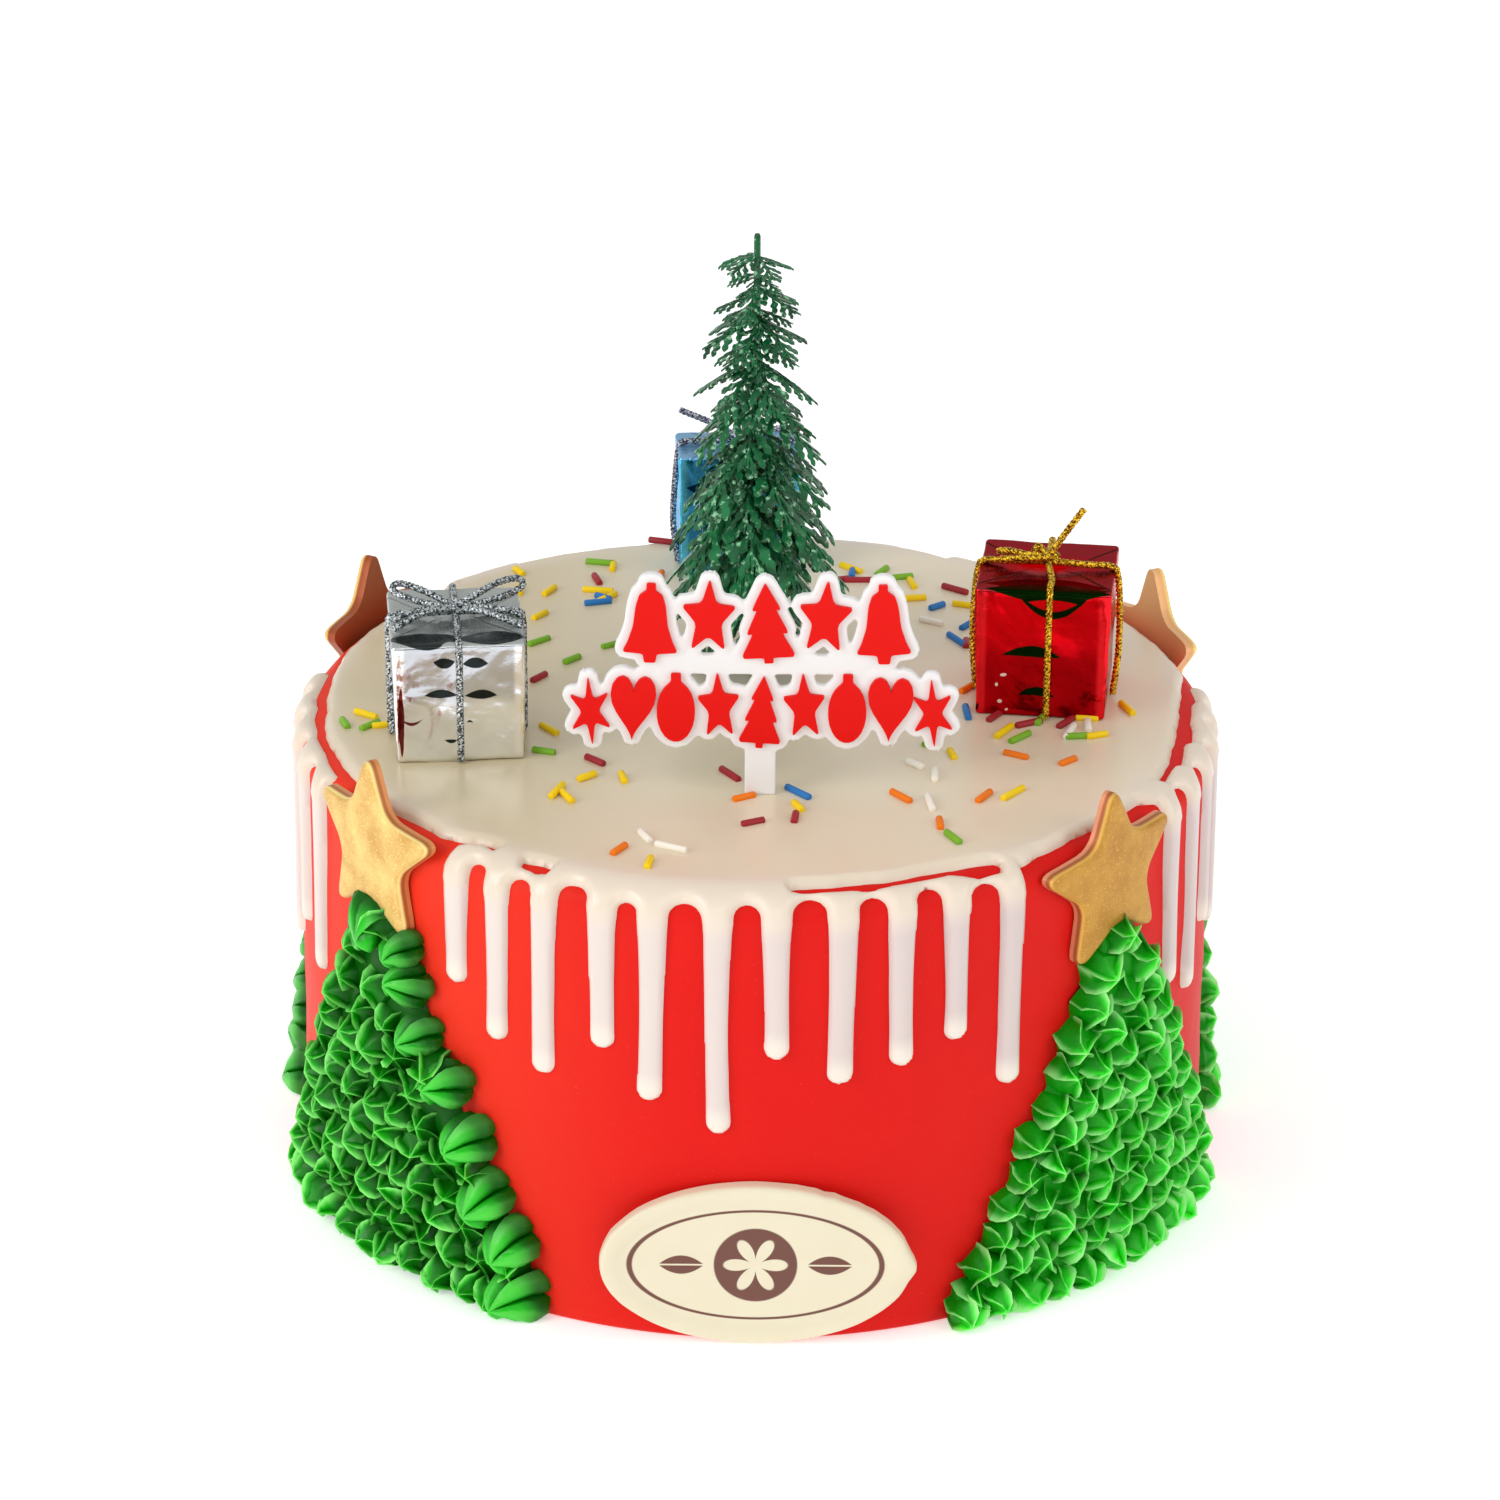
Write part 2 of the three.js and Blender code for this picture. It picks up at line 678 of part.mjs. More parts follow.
function makeCord(gift, name, colour, bow) {
  const [width, depth, height] = gift.size;
  const top = height + gap;
  const knot = new THREE.IcosahedronGeometry(cordThickness * 1.15, 0).translate(0, 0, top + cordThickness);
  const pieces = [
    solid(band(width / 2 + gap, top, cordThickness)),
    solid(band(depth / 2 + gap, top, cordThickness).rotateZ(Math.PI / 2)),
    solid(knot),
    ...bow.map((points) => strand(points.map(([x, y, z]) => [x, y, top + z]))),
  ];
  return stoodGift(gift, meshOf(name, joined(pieces), colour));
}

// Bow loops and tails: points from the knot out and back, as x, y and height over the box
const loopOf = (side, out, rise, back) => [
  [0, 0, 1.6],
  [side * out * 0.5, back * 0.5, rise],
  [side * out, back, rise * 0.75],
  [side * out * 0.85, -3, 1.9],
  [side * 0.3, -0.3, 1.6],
];
const silverBow = [
  loopOf(-1, 13, 5.5, 5),
  loopOf(1, 12.5, 6, 6),
  [
    [0, 0, 1.6],
    [6, -4.5, 2.4],
    [12.5, -7, 1.6],
  ],
  [
    [0, 0, 1.6],
    [-7, -5, 2.6],
    [-13, -7, 1.6],
  ],
];
const redBow = [
  [
    [0, 0, 1.6],
    [2.5, 2, 5.5],
    [7.5, 4, 12.5],
  ],
  [
    [0, 0, 1.6],
    [-6, -2.5, 2.6],
    [-11.5, -4, 1.8],
  ],
  loopOf(-1, 5, 4, 1.5),
];
const blueBow = [
  [
    [0, 0, 1.6],
    [-6, 1.5, 4.6],
    [-11.5, 2, 7.4],
  ],
  [
    [0, 0, 1.6],
    [6, -1, 3.4],
    [11, -2, 4.4],
  ],
];

toppers.add(
  makeSign(),
  makeFir(),
  makeGift(silverGift, "gift_silver", "silverFoil"),
  makeGift(redGift, "gift_red", "redFoil"),
  makeGift(blueGift, "gift_blue", "blueFoil"),
  makeCord(silverGift, "cord_silver", "silverCord", silverBow),
  makeCord(redGift, "cord_gold", "goldCord", redBow),
  makeCord(blueGift, "cord_blue_gift", "silverCord", blueBow),
);

const group = new THREE.Group();
group.add(makeCake(), makeGlaze(), makePlaque(), toppers);
for (const tree of trees) group.add(makeTree(tree));
for (const star of stars) group.add(meshOf(star.name, starSolid(star, 0), "gold"));

export default group;
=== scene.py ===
import math
import bpy
import numpy as np
from mathutils import Matrix, Vector, noise


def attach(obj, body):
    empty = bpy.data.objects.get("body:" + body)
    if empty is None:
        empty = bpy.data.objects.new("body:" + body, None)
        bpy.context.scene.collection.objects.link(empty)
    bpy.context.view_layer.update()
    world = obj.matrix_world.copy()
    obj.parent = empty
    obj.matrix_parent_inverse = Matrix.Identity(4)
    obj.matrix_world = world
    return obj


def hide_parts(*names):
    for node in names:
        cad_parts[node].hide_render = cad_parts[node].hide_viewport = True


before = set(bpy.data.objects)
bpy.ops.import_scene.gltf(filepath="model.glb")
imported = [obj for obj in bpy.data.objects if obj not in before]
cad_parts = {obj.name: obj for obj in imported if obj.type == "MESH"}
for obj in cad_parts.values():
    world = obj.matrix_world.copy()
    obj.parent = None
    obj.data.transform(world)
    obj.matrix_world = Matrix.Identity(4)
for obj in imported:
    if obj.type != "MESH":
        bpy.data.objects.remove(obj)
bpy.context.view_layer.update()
print("loaded the packed cake")

# Everything is modelled in millimetres and brought to metres when a piece is finished
toMetres = 0.001


def clearSelection():
    if bpy.context.mode != "OBJECT":
        bpy.ops.object.mode_set(mode="OBJECT")
    bpy.ops.object.select_all(action="DESELECT")


def hold(*pieces):  # selects the pieces, the first one active
    clearSelection()
    for piece in pieces:
        piece.select_set(True)
    bpy.context.view_layer.objects.active = pieces[0]


def startEdit(piece=None):
    if piece:
        hold(piece)
    bpy.ops.object.mode_set(mode="EDIT")


def endEdit():
    bpy.ops.object.mode_set(mode="OBJECT")
    return bpy.context.active_object


def pick(kind, test):  # in edit mode: selects vertices, edges or faces by their place
    bpy.ops.mesh.select_mode(type=kind)
    bpy.ops.mesh.select_all(action="DESELECT")
    bpy.ops.object.mode_set(mode="OBJECT")
    mesh = bpy.context.active_object.data
    points = mesh.vertices
    if kind == "VERT":
        for vertex in points:
            vertex.select = bool(test(vertex.co))
    elif kind == "EDGE":
        for edge in mesh.edges:
            edge.select = bool(test(points[edge.vertices[0]].co, points[edge.vertices[1]].co))
    else:
        for face in mesh.polygons:
            face.select = bool(test(face.center, face.normal))
    bpy.ops.object.mode_set(mode="EDIT")


def selectAll():
    bpy.ops.mesh.select_all(action="SELECT")


def faceOutwards():
    selectAll()
    bpy.ops.mesh.normals_make_consistent(inside=False)


def sortByPlace():  # in edit mode: the same order on every run, because operators can leave another one each time
    bpy.context.scene.cursor.location = (31.7, 57.3, 91.1)
    bpy.ops.mesh.sort_elements(type="CURSOR_DISTANCE", elements={"VERT", "EDGE", "FACE"})
    bpy.context.scene.cursor.location = (0, 0, 0)


def reshape(piece, rule):  # moves every vertex of a piece by a rule on its place
    for vertex in piece.data.vertices:
        vertex.co = rule(vertex.co)


def modify(piece, kind, **settings):
    hold(piece)
    modifier = piece.modifiers.new(kind.title(), kind)
    for key, value in settings.items():
        setattr(modifier, key, value)
    bpy.ops.object.modifier_apply(modifier=modifier.name)
    return piece


def twin(piece, place):  # a copy with its own mesh, put in place
    made = piece.copy()
    made.data = piece.data.copy()
    bpy.context.scene.collection.objects.link(made)
    made.matrix_world = place
    return made


def weld(name, pieces):  # joins pieces into one mesh at the origin
    for piece in pieces:
        piece.data.transform(piece.matrix_world)
        piece.matrix_world = Matrix.Identity(4)
    hold(*pieces)
    if len(pieces) > 1:
        bpy.ops.object.join()
    whole = bpy.context.active_object
    whole.name = whole.data.name = name
    return whole


def discard(*pieces):
    for piece in pieces:
        bpy.data.objects.remove(piece)


def finishPiece(piece, name, material, nodes=(), smooth=45):
    hold(piece)
    piece.data.transform(Matrix.Scale(toMetres, 4) @ piece.matrix_world)
    piece.matrix_world = Matrix.Identity(4)
    piece.name = piece.data.name = name
    piece.data.materials.clear()
    piece.data.materials.append(material)
    bpy.ops.object.shade_smooth_by_angle(angle=math.radians(smooth))
    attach(piece, "root")
    if nodes:
        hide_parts(*nodes)
    print("finished", name, "with", sum(len(face.vertices) - 2 for face in piece.data.polygons), "triangles")


def ringStack(count, rings, closeTop=True):
    # A disc pulled up ring by ring: each ring has a radius and a height
    clearSelection()
    radius, height = rings[0]
    bpy.ops.mesh.primitive_circle_add(vertices=count, radius=radius, fill_type="NGON", location=(0, 0, height))
    bpy.ops.object.transform_apply(location=True)
    startEdit()
    selectAll()
    for nextRadius, nextHeight in rings[1:]:
        bpy.ops.mesh.extrude_region_move(TRANSFORM_OT_translate={"value": (0, 0, nextHeight - height)})
        share = nextRadius / radius
        bpy.ops.transform.resize(value=(share, share, 1), center_override=(0, 0, nextHeight))
        radius, height = nextRadius, nextHeight
    if closeTop:
        bpy.ops.mesh.merge(type="CENTER")
    faceOutwards()
    return endEdit()


def outlinePlate(points, depth):  # a flat outline in x and y, extruded from z = 0
    clearSelection()
    bpy.ops.mesh.primitive_circle_add(vertices=len(points), radius=1, fill_type="NGON")
    plate = bpy.context.active_object
    for vertex, (x, y) in zip(plate.data.vertices, points):
        vertex.co = (x, y, 0)
    startEdit()
    faceOutwards()
    bpy.ops.mesh.extrude_region_move(TRANSFORM_OT_translate={"value": (0, 0, depth)})
    faceOutwards()
    bpy.ops.mesh.quads_convert_to_tris(ngon_method="CLIP")
    return endEdit()


def roundCorners(points, cut, rounds=2):  # cuts every corner of an outline, again and again
    for _ in range(rounds):
        softer = []
        for (ax, ay), (bx, by) in zip(points, points[1:] + points[:1]):
            softer += [(ax + (bx - ax) * cut, ay + (by - ay) * cut), (bx + (ax - bx) * cut, by + (ay - by) * cut)]
        points = softer
    return points


def limit(value):  # to between 0 and 1
    return min(1, max(0, value))


def series(seed):  # the same repeatable draws as the part's source
    state = seed
    while True:
        state = (state * 1664525 + 1013904223) % 4294967296
        yield state / 4294967296


def between(draw, low, high):
    return low + (high - low) * next(draw)


def waverVector(place):  # the same on every run, which noise_vector isn't
    return Vector([noise.noise(place + Vector(shift)) for shift in ((9.3, 1.5, 7.9), (2.1, 6.4, 3.7), (5.8, 8.2, 0.6))])


def curveThrough(points, step):  # a smooth line through points, with a point every step
    points = [Vector(point) for point in points]
    padded = [2 * points[0] - points[1], *points, 2 * points[-1] - points[-2]]
    line = []
    for i in range(1, len(padded) - 2):
        a, b, c, d = padded[i - 1:i + 3]
        count = max(2, round((c - b).length / step))
        for k in range(count):
            t = k / count
            line.append(0.5 * (2 * b + (c - a) * t + (2 * a - 5 * b + 4 * c - d) * t * t
                               + (3 * b - a - 3 * c + d) * t ** 3))
    line.append(points[-1])
    return line


# Materials: a wire is a socket that takes part in Python maths
class Wire:
    def __init__(self, finish, socket):
        self.finish, self.socket = finish, socket

    def __add__(self, other):
        return self.finish.maths("ADD", self, other)

    __radd__ = __add__

    def __sub__(self, other):
        return self.finish.maths("SUBTRACT", self, other)

    def __rsub__(self, other):
        return self.finish.maths("SUBTRACT", other, self)

    def __mul__(self, other):
        return self.finish.maths("MULTIPLY", self, other)

    __rmul__ = __mul__

    def __truediv__(self, other):
        return self.finish.maths("DIVIDE", self, other)

    def __rtruediv__(self, other):
        return self.finish.maths("DIVIDE", other, self)

    def __pow__(self, other):
        return self.finish.maths("POWER", self, other)

    def __abs__(self):
        return self.finish.maths("ABSOLUTE", self)


class Finish:
    def __init__(self, name, **constants):
        self.material = bpy.data.materials.new(name)
        self.material.use_nodes = True
        self.tree = self.material.node_tree
        self.shader = self.tree.nodes["Principled BSDF"]
        for key, value in constants.items():
            self.shader.inputs[shaderNames[key]].default_value = value
        coordinates = self.node("ShaderNodeTexCoord", output="Object")
        scale = (1 / toMetres,) * 3
        self.place = self.node("ShaderNodeMapping", sockets={"Vector": coordinates, "Scale": scale})

    def node(self, kind, settings=None, sockets=None, output=0):
        made = self.tree.nodes.new(kind)
        for key, value in (settings or {}).items():
            setattr(made, key, value)
        for key, value in (sockets or {}).items():
            if isinstance(value, Wire):
                self.tree.links.new(value.socket, made.inputs[key])
            else:
                made.inputs[key].default_value = value
        return Wire(self, made.outputs[output])

    def maths(self, operation, first, second=0.0):
        return self.node("ShaderNodeMath", {"operation": operation}, {0: first, 1: second})

    def largest(self, first, second):
        return self.maths("MAXIMUM", first, second)

    def hypot(self, first, second):
        return self.maths("SQRT", first * first + second * second)

    def feed(self, socketName, wire):
        self.tree.links.new(wire.socket, self.shader.inputs[socketName])

    def axis(self, letter, vector=None):
        return self.node("ShaderNodeSeparateXYZ", sockets={"Vector": vector or self.place}, output=letter)

    def grain(self, size, detail=2.0, roughness=0.5, distortion=0.0):  # size in millimetres
        sockets = {"Vector": self.place, "Scale": 1 / size, "Detail": detail, "Roughness": roughness,
                   "Distortion": distortion}
        return self.node("ShaderNodeTexNoise", sockets=sockets)

    def cells(self, size, feature="F1", output=0):
        sockets = {"Vector": self.place, "Scale": 1 / size}
        return self.node("ShaderNodeTexVoronoi", {"feature": feature}, sockets, output)

    def attribute(self, name):
        return self.node("ShaderNodeAttribute", {"attribute_name": name}, output="Fac")

    def step(self, wire, low, high):  # 0 below low, 1 above high
        sockets = {"Value": wire, "From Min": low, "From Max": high}
        return self.node("ShaderNodeMapRange", {"interpolation_type": "SMOOTHSTEP"}, sockets)

    def blend(self, mask, first, second):
        return self.node("ShaderNodeMix", {"data_type": "RGBA"}, {0: mask, 6: first, 7: second}, 2)

    def bump(self, height, strength, distance, normal=None):  # distance in millimetres
        sockets = {"Height": height, "Strength": strength, "Distance": distance * toMetres}
        if normal:
            sockets["Normal"] = normal
        return self.node("ShaderNodeBump", sockets=sockets)

    def grainy(self, size, detail, roughness, strength, distance, normal=None):  # a surface with a grain of its own
        self.feed("Normal", self.bump(self.grain(size, detail, roughness), strength, distance, normal))


shaderNames = {
    "colour": "Base Color", "roughness": "Roughness", "metallic": "Metallic", "coat": "Coat Weight",
    "coatRoughness": "Coat Roughness", "specular": "Specular IOR Level", "subsurface": "Subsurface Weight",
    "subsurfaceRadius": "Subsurface Radius", "subsurfaceScale": "Subsurface Scale", "tint": "Specular Tint",
    "glow": "Emission Color", "glowStrength": "Emission Strength",
}


def paint(red, green, blue):  # a colour as seen on screen, 0 to 255
    def linear(value):
        value /= 255
        return value / 12.92 if value <= 0.04045 else ((value + 0.055) / 1.055) ** 2.4
    return (linear(red), linear(green), linear(blue), 1)


# Camera: fitted to the rim and foot of the cake as the photograph shows them
cameraPlace = {"distance": 1100, "elevation": 26.092, "aim": 50, "yaw": -0.065, "pitch": 2.123, "roll": 0.406,
               "focal": 4654.098, "frame": 1500, "sensor": 36}


def cameraAxes():
    elevation = math.radians(cameraPlace["elevation"])
    forward = Vector((0, math.cos(elevation), -math.sin(elevation)))
    right = Vector((1, 0, 0))
    look = (forward + math.tan(math.radians(cameraPlace["pitch"])) * right.cross(forward)
            + math.tan(math.radians(cameraPlace["yaw"])) * right).normalized()
    level = look.cross(Vector((0, 0, 1))).normalized()
    rise = level.cross(look)
    roll = math.radians(cameraPlace["roll"])
    side = math.cos(roll) * level + math.sin(roll) * rise
    up = math.cos(roll) * rise - math.sin(roll) * level
    distance = cameraPlace["distance"]
    eye = Vector((0, -distance * math.cos(elevation), distance * math.sin(elevation) + cameraPlace["aim"]))
    return eye, side, up, look


eye, cameraRight, cameraUp, cameraLook = cameraAxes()


def placeCamera():
    camera = bpy.data.objects.new("camera", bpy.data.cameras.new("camera"))
    bpy.context.scene.collection.objects.link(camera)
    turn = Matrix((cameraRight, cameraUp, -cameraLook)).transposed().to_4x4()
    camera.matrix_world = Matrix.Translation(eye * toMetres) @ turn
    camera.data.sensor_width = cameraPlace["sensor"]
    camera.data.lens = cameraPlace["focal"] * cameraPlace["sensor"] / cameraPlace["frame"]
    bpy.context.scene.camera = camera


def sight(pixel):  # the direction through a pixel of the photograph
    middle = cameraPlace["frame"] / 2
    return (cameraLook * cameraPlace["focal"] + cameraRight * (pixel[0] - middle)
            - cameraUp * (pixel[1] - middle)).normalized()


def onLevel(pixel, height):  # where a pixel meets a level plane
    direction = sight(pixel)
    return eye + direction * ((height - eye.z) / direction.z)


def onSide(pixel, radius):  # where a pixel meets an upright cylinder about the cake's axis: azimuth and height
    direction = sight(pixel)
    a = direction.x ** 2 + direction.y ** 2
    b = eye.x * direction.x + eye.y * direction.y
    c = eye.x ** 2 + eye.y ** 2 - radius ** 2
    spot = eye + direction * ((-b - math.sqrt(max(b * b - a * c, 0))) / a)
    return math.atan2(spot.x, -spot.y), spot.z


placeCamera()

# Floor, lights and surroundings
studio = {"floorSize": 8, "floorColour": (0.93, 0.93, 0.93, 1), "floorGlow": 0.42, "floorLow": 0.0002,
          "room": (0.12, 0.7), "fades": {"Z": (0.02, 0.45), "Y": (-0.4, 0.5)}, "aim": (0, 0, 0.08),
          "lamps": [
              {"name": "left box", "place": (-1.5, -1.0, 0.85), "size": (0.9, 1.2), "power": 15.8},
              {"name": "right box", "place": (1.6, -1.0, 0.8), "size": (0.9, 1.2), "power": 7.5},
              {"name": "front box", "place": (0.2, -2.0, 1.3), "size": (1.2, 0.7), "power": 4.8},
          ]}


def lightRoom():  # dimmer low on the camera's side, so that foil has something dark to show
    world = bpy.data.worlds.new("studio")
    bpy.context.scene.world = world
    world.use_nodes = True
    tree = world.node_tree
    coordinates = tree.nodes.new("ShaderNodeTexCoord")
    split = tree.nodes.new("ShaderNodeSeparateXYZ")
    tree.links.new(coordinates.outputs["Generated"], split.inputs[0])
    brightest = tree.nodes.new("ShaderNodeMath")
    brightest.operation = "MAXIMUM"
    level = tree.nodes.new("ShaderNodeMapRange")
    level.inputs["To Min"].default_value, level.inputs["To Max"].default_value = studio["room"]
    for slot, axis in enumerate("ZY"):
        fade = tree.nodes.new("ShaderNodeMapRange")
        fade.interpolation_type = "SMOOTHSTEP"
        fade.inputs["From Min"].default_value, fade.inputs["From Max"].default_value = studio["fades"][axis]
        tree.links.new(split.outputs[axis], fade.inputs["Value"])
        tree.links.new(fade.outputs[0], brightest.inputs[slot])
    tree.links.new(brightest.outputs[0], level.inputs["Value"])
    tree.links.new(level.outputs[0], tree.nodes["Background"].inputs["Strength"])
    tree.nodes["Background"].inputs["Color"].default_value = (1, 1, 1, 1)


def makeStudio():
    clearSelection()
    bpy.ops.mesh.primitive_plane_add(size=studio["floorSize"], location=(0, 0, -studio["floorLow"]))
    floor = bpy.context.active_object
    floor.name = "floor"
    floorFinish = Finish("floor", colour=studio["floorColour"], roughness=0.7, glow=studio["floorColour"],
                         glowStrength=studio["floorGlow"])
    floor.data.materials.append(floorFinish.material)
    for lamp in studio["lamps"]:
        light = bpy.data.lights.new(lamp["name"], "AREA")
        light.shape = "RECTANGLE"
        light.size, light.size_y = lamp["size"]
        light.energy = lamp["power"]
        stand = bpy.data.objects.new(lamp["name"], light)
        bpy.context.scene.collection.objects.link(stand)
        place = Vector(lamp["place"])
        aim = Vector(studio["aim"]) - place
        stand.matrix_world = Matrix.Translation(place) @ aim.to_track_quat("-Z", "Y").to_matrix().to_4x4()
    lightRoom()
    bpy.context.scene.view_settings.view_transform = "Standard"


makeStudio()
print("camera, floor and lights are in place")

# The iced cake. path is the way from the middle of the top outwards and down the side
cake = {"topRadius": 105, "footRadius": 106.4, "footRound": (0.8, 0.9), "height": 106.4, "rimRound": 6,
        "sides": 200, "rimSteps": 8, "sideSteps": 26, "unevenness": 0.35, "waveSize": 22, "evenFoot": 6, "evenRim": 8}
flatRadius = cake["topRadius"] - cake["rimRound"]
rimPath = cake["rimRound"] * math.pi / 2
sideHeight = cake["height"] - cake["rimRound"]
gap = 0.35
glazeThick = 1.85
glazeTop = cake["height"] + gap + glazeThick


def profileAt(path, proud):
    turn = np.clip((path - flatRadius) / cake["rimRound"], 0, math.pi / 2)
    down = np.maximum(path - flatRadius - rimPath, 0)
    taper = (cake["footRadius"] - cake["topRadius"]) * down / sideHeight
    radius = np.minimum(path, flatRadius) + (cake["rimRound"] + proud) * np.sin(turn) + taper
    return radius, sideHeight + (cake["rimRound"] + proud) * np.cos(turn) - down


def onIcing(azimuth, path, proud):
    radius, height = profileAt(path, proud)
    return radius * np.sin(azimuth), -radius * np.cos(azimuth), height


def onWall(azimuth, radius, height, tilt=0.0):  # a frame with x along the side, y up and z outwards
    outwards = Vector((math.sin(azimuth), -math.cos(azimuth), 0))
    along = Vector((math.cos(azimuth), math.sin(azimuth), 0))
    turn = Matrix((along, Vector((0, 0, 1)), outwards)).transposed().to_4x4()
    return Matrix.Translation(outwards * radius + Vector((0, 0, height))) @ turn @ Matrix.Rotation(tilt, 4, "Z")


def icingFinish():
    finish = Finish("red icing", roughness=0.5, specular=0.13)
    patches = finish.grain(26, 3, 0.55)
    specks = finish.step(finish.grain(0.9, 2, 0.6), 0.68, 0.76)
    base = finish.blend(patches, paint(211, 16, 11), paint(221, 24, 16))
    # Painted light: the red is lighter and oranger towards the left, where the lamp falls
    base = finish.blend(finish.step(finish.axis("X"), -10, -80), base, paint(230, 50, 27))
    finish.feed("Base Color", finish.blend(specks * 0.3, base, paint(240, 80, 64)))
    finish.feed("Roughness", 0.44 + patches * 0.12)
    ripple = finish.grain(5.5, 2, 0.5) * 0.75 + finish.grain(0.7, 3, 0.6) * 0.25
    finish.feed("Normal", finish.bump(ripple, 0.35, 0.5))
    return finish.material


def makeCake():
    rings = [(cake["footRadius"] - cake["footRound"][0], 0), (cake["footRadius"], cake["footRound"][1])]
    for i in range(1, cake["sideSteps"]):
        path = flatRadius + rimPath + sideHeight * (1 - i / cake["sideSteps"])
        rings.append(profileAt(path, 0))
    for i in range(cake["rimSteps"] + 1):
        rings.append(profileAt(flatRadius + rimPath * (1 - i / cake["rimSteps"]), 0))
    rings = [(float(radius), float(height)) for radius, height in rings]
    body = ringStack(cake["sides"], rings, closeTop=False)
    wave = cake["waveSize"]

    def uneven(place):
        outwards = Vector((place.x, place.y, 0)).normalized()
        fade = limit(place.z / cake["evenFoot"]) * limit((cake["height"] - place.z) / cake["evenRim"])
        swell = noise.noise(place / wave) + 0.5 * noise.noise(place / (wave * 0.35))
        return place + outwards * (swell * cake["unevenness"] * fade)

    reshape(body, uneven)
    finishPiece(body, "iced_cake", icingFinish(), ["cake"], smooth=60)


makeCake()

# The poured glaze. Its outline is worked out on the unrolled icing: azimuth times radius across, path down
# A row has the path where it ends and the spacing up to there
glaze = {"columns": 1040, "innerPath": 93, "rows": [(97, 1.1), (106.4, 0.44), (130, 1.45), (162, 0.62)],
         "closeTop": [80, 62, 42, 20, 5], "closeUnder": [60, 20, 5], "snap": 0.3, "edgeRound": 2.4, "sink": 0.3,
         "dripHalf": 3.0, "dripThick": 1.75, "dripFrom": 106, "dripSunk": 0.12, "runFrom": 101, "swayFrom": 108,
         "sway": 0.55, "palerEnd": 9, "widestArch": 10, "outside": -50}
# Azimuth and height of each tip, counted round from the left
drips = [
    (-97.5, 61), (-90.4, 66), (-82.1, 54.5), (-75.2, 63), (-67.6, 57.1),
    (-37.7, 76), (-31.7, 65.3), (-25.3, 60.1), (-18, 69.1), (-11.9, 57.9), (-4.2, 51), (2.6, 69), (10.4, 62.5),
    (17.5, 65.3), (24.3, 69.3), (31.8, 55.7),
    (61.6, 60), (68.7, 53.4), (75.9, 64), (82.6, 58.1), (89.2, 66), (95.5, 58),
    (134.5, 62), (141.2, 70), (148.6, 55), (155.3, 66), (162.2, 59), (169.6, 72), (176.5, 57), (184, 64),
    (191, 53), (197.8, 69), (205.4, 60), (212, 66), (219.3, 56), (225.5, 70),
]
archPaths = {-78.4: 103.7, -70.9: 104.6, -34.6: 103.6, -28.3: 104.3, -21.7: 103, -14.9: 105.1, -7.7: 104.1,
             -0.6: 103.9, 6.7: 102.9, 14.2: 103.5, 21.1: 103.1, 28.2: 104.3, 65.4: 103.4, 72.5: 103.7, 79.2: 103.9}
archDefault = 103.9
# Edge of the sheet, and upper edge of the part that ran clear of it, as azimuth and path
sheetEdge = [
    (-134, 101), (-120, 100.5), (-106, 100.6), (-97, 99.6), (-90, 99.2), (-85.7, 98.9), (-82.7, 99.3),
    (-77.6, 100), (-72.9, 99.6), (-65.6, 99.7), (-61.1, 100.1), (-52, 100.6), (-44.6, 100.2), (-42.5, 100.8),
    (-39.7, 100.2), (-37.6, 98.5), (-35.4, 97.7), (-33.5, 98.8), (-32.4, 103), (-30.6, 103),
    (-29.6, 100.1), (-27, 99.8), (-25.2, 100.3), (-24.2, 103), (3.2, 103), (4.2, 100.3), (5.3, 99.9),
    (11.7, 99.5), (16.4, 99.6), (21.4, 98.9), (24.5, 98.9), (28.8, 99.5), (30.8, 100.3), (32.2, 103),
    (34.4, 102.8), (36.8, 101.8), (39.6, 101.3), (42.7, 100.5), (53.8, 100.3), (57, 100.5), (59.4, 103),
    (61.4, 103), (62.8, 99.9), (67.9, 99.1), (74.7, 97.8), (80.8, 97.4), (87.9, 97.7), (95.7, 99.7),
    (99.1, 101.6), (112, 101.2), (134, 101.4), (152, 100.6), (160, 102.6), (186, 102.4), (196, 100.4),
    (214, 101.8), (226, 101),
]
runTop = [
    (-104, 101.4), (-96, 101.2), (-91, 101.8), (-87.5, 100.9), (-84.4, 101.6), (-80.4, 101.2), (-78.6, 101.7),
    (-76.2, 101.5), (-73, 101.2), (-70.5, 101.7), (-66.9, 102), (-64.4, 101.7), (-63.1, 103.3), (-61, 105),
    (-41, 105.4), (-39.3, 104.3), (-38.5, 100.6), (-37.3, 99.4), (-35.6, 99), (-33.7, 99.6), (-32.8, 96),
    (-30.4, 96), (-29.4, 101.5), (-27, 102.2), (-25.4, 101.7), (-24.4, 96), (3.2, 96), (4.2, 100.6),
    (5.3, 101.2), (9.4, 101.2), (11.7, 101.3), (13.7, 101.9), (16.2, 101.2), (21, 100.9), (24.1, 100.7),
    (25.7, 101.5), (27.7, 102.9), (29.7, 102.6), (31, 102.6), (32, 98), (36, 98), (42, 105), (56, 105),
    (58.9, 98), (62.4, 97), (63.8, 100.7), (69.2, 99.9), (70.6, 101.3), (76.5, 99.8), (77.9, 101.3),
    (82.2, 100.7), (84.2, 100), (90.5, 100.8), (92.8, 102.4), (97.7, 102.2), (101, 104), (134, 104),
    (138, 98), (150, 98), (153, 102), (158, 102.2), (161, 98), (184, 98), (187, 101.6), (195, 102.2),
    (214, 102), (217, 98), (230, 98), (256, 101.4),
]


def roundTable(table):  # interpolates a table of azimuths round the whole cake
    azimuths, values = np.array(table, float).T
    return lambda azimuth: np.interp(azimuth, azimuths, values, period=360)


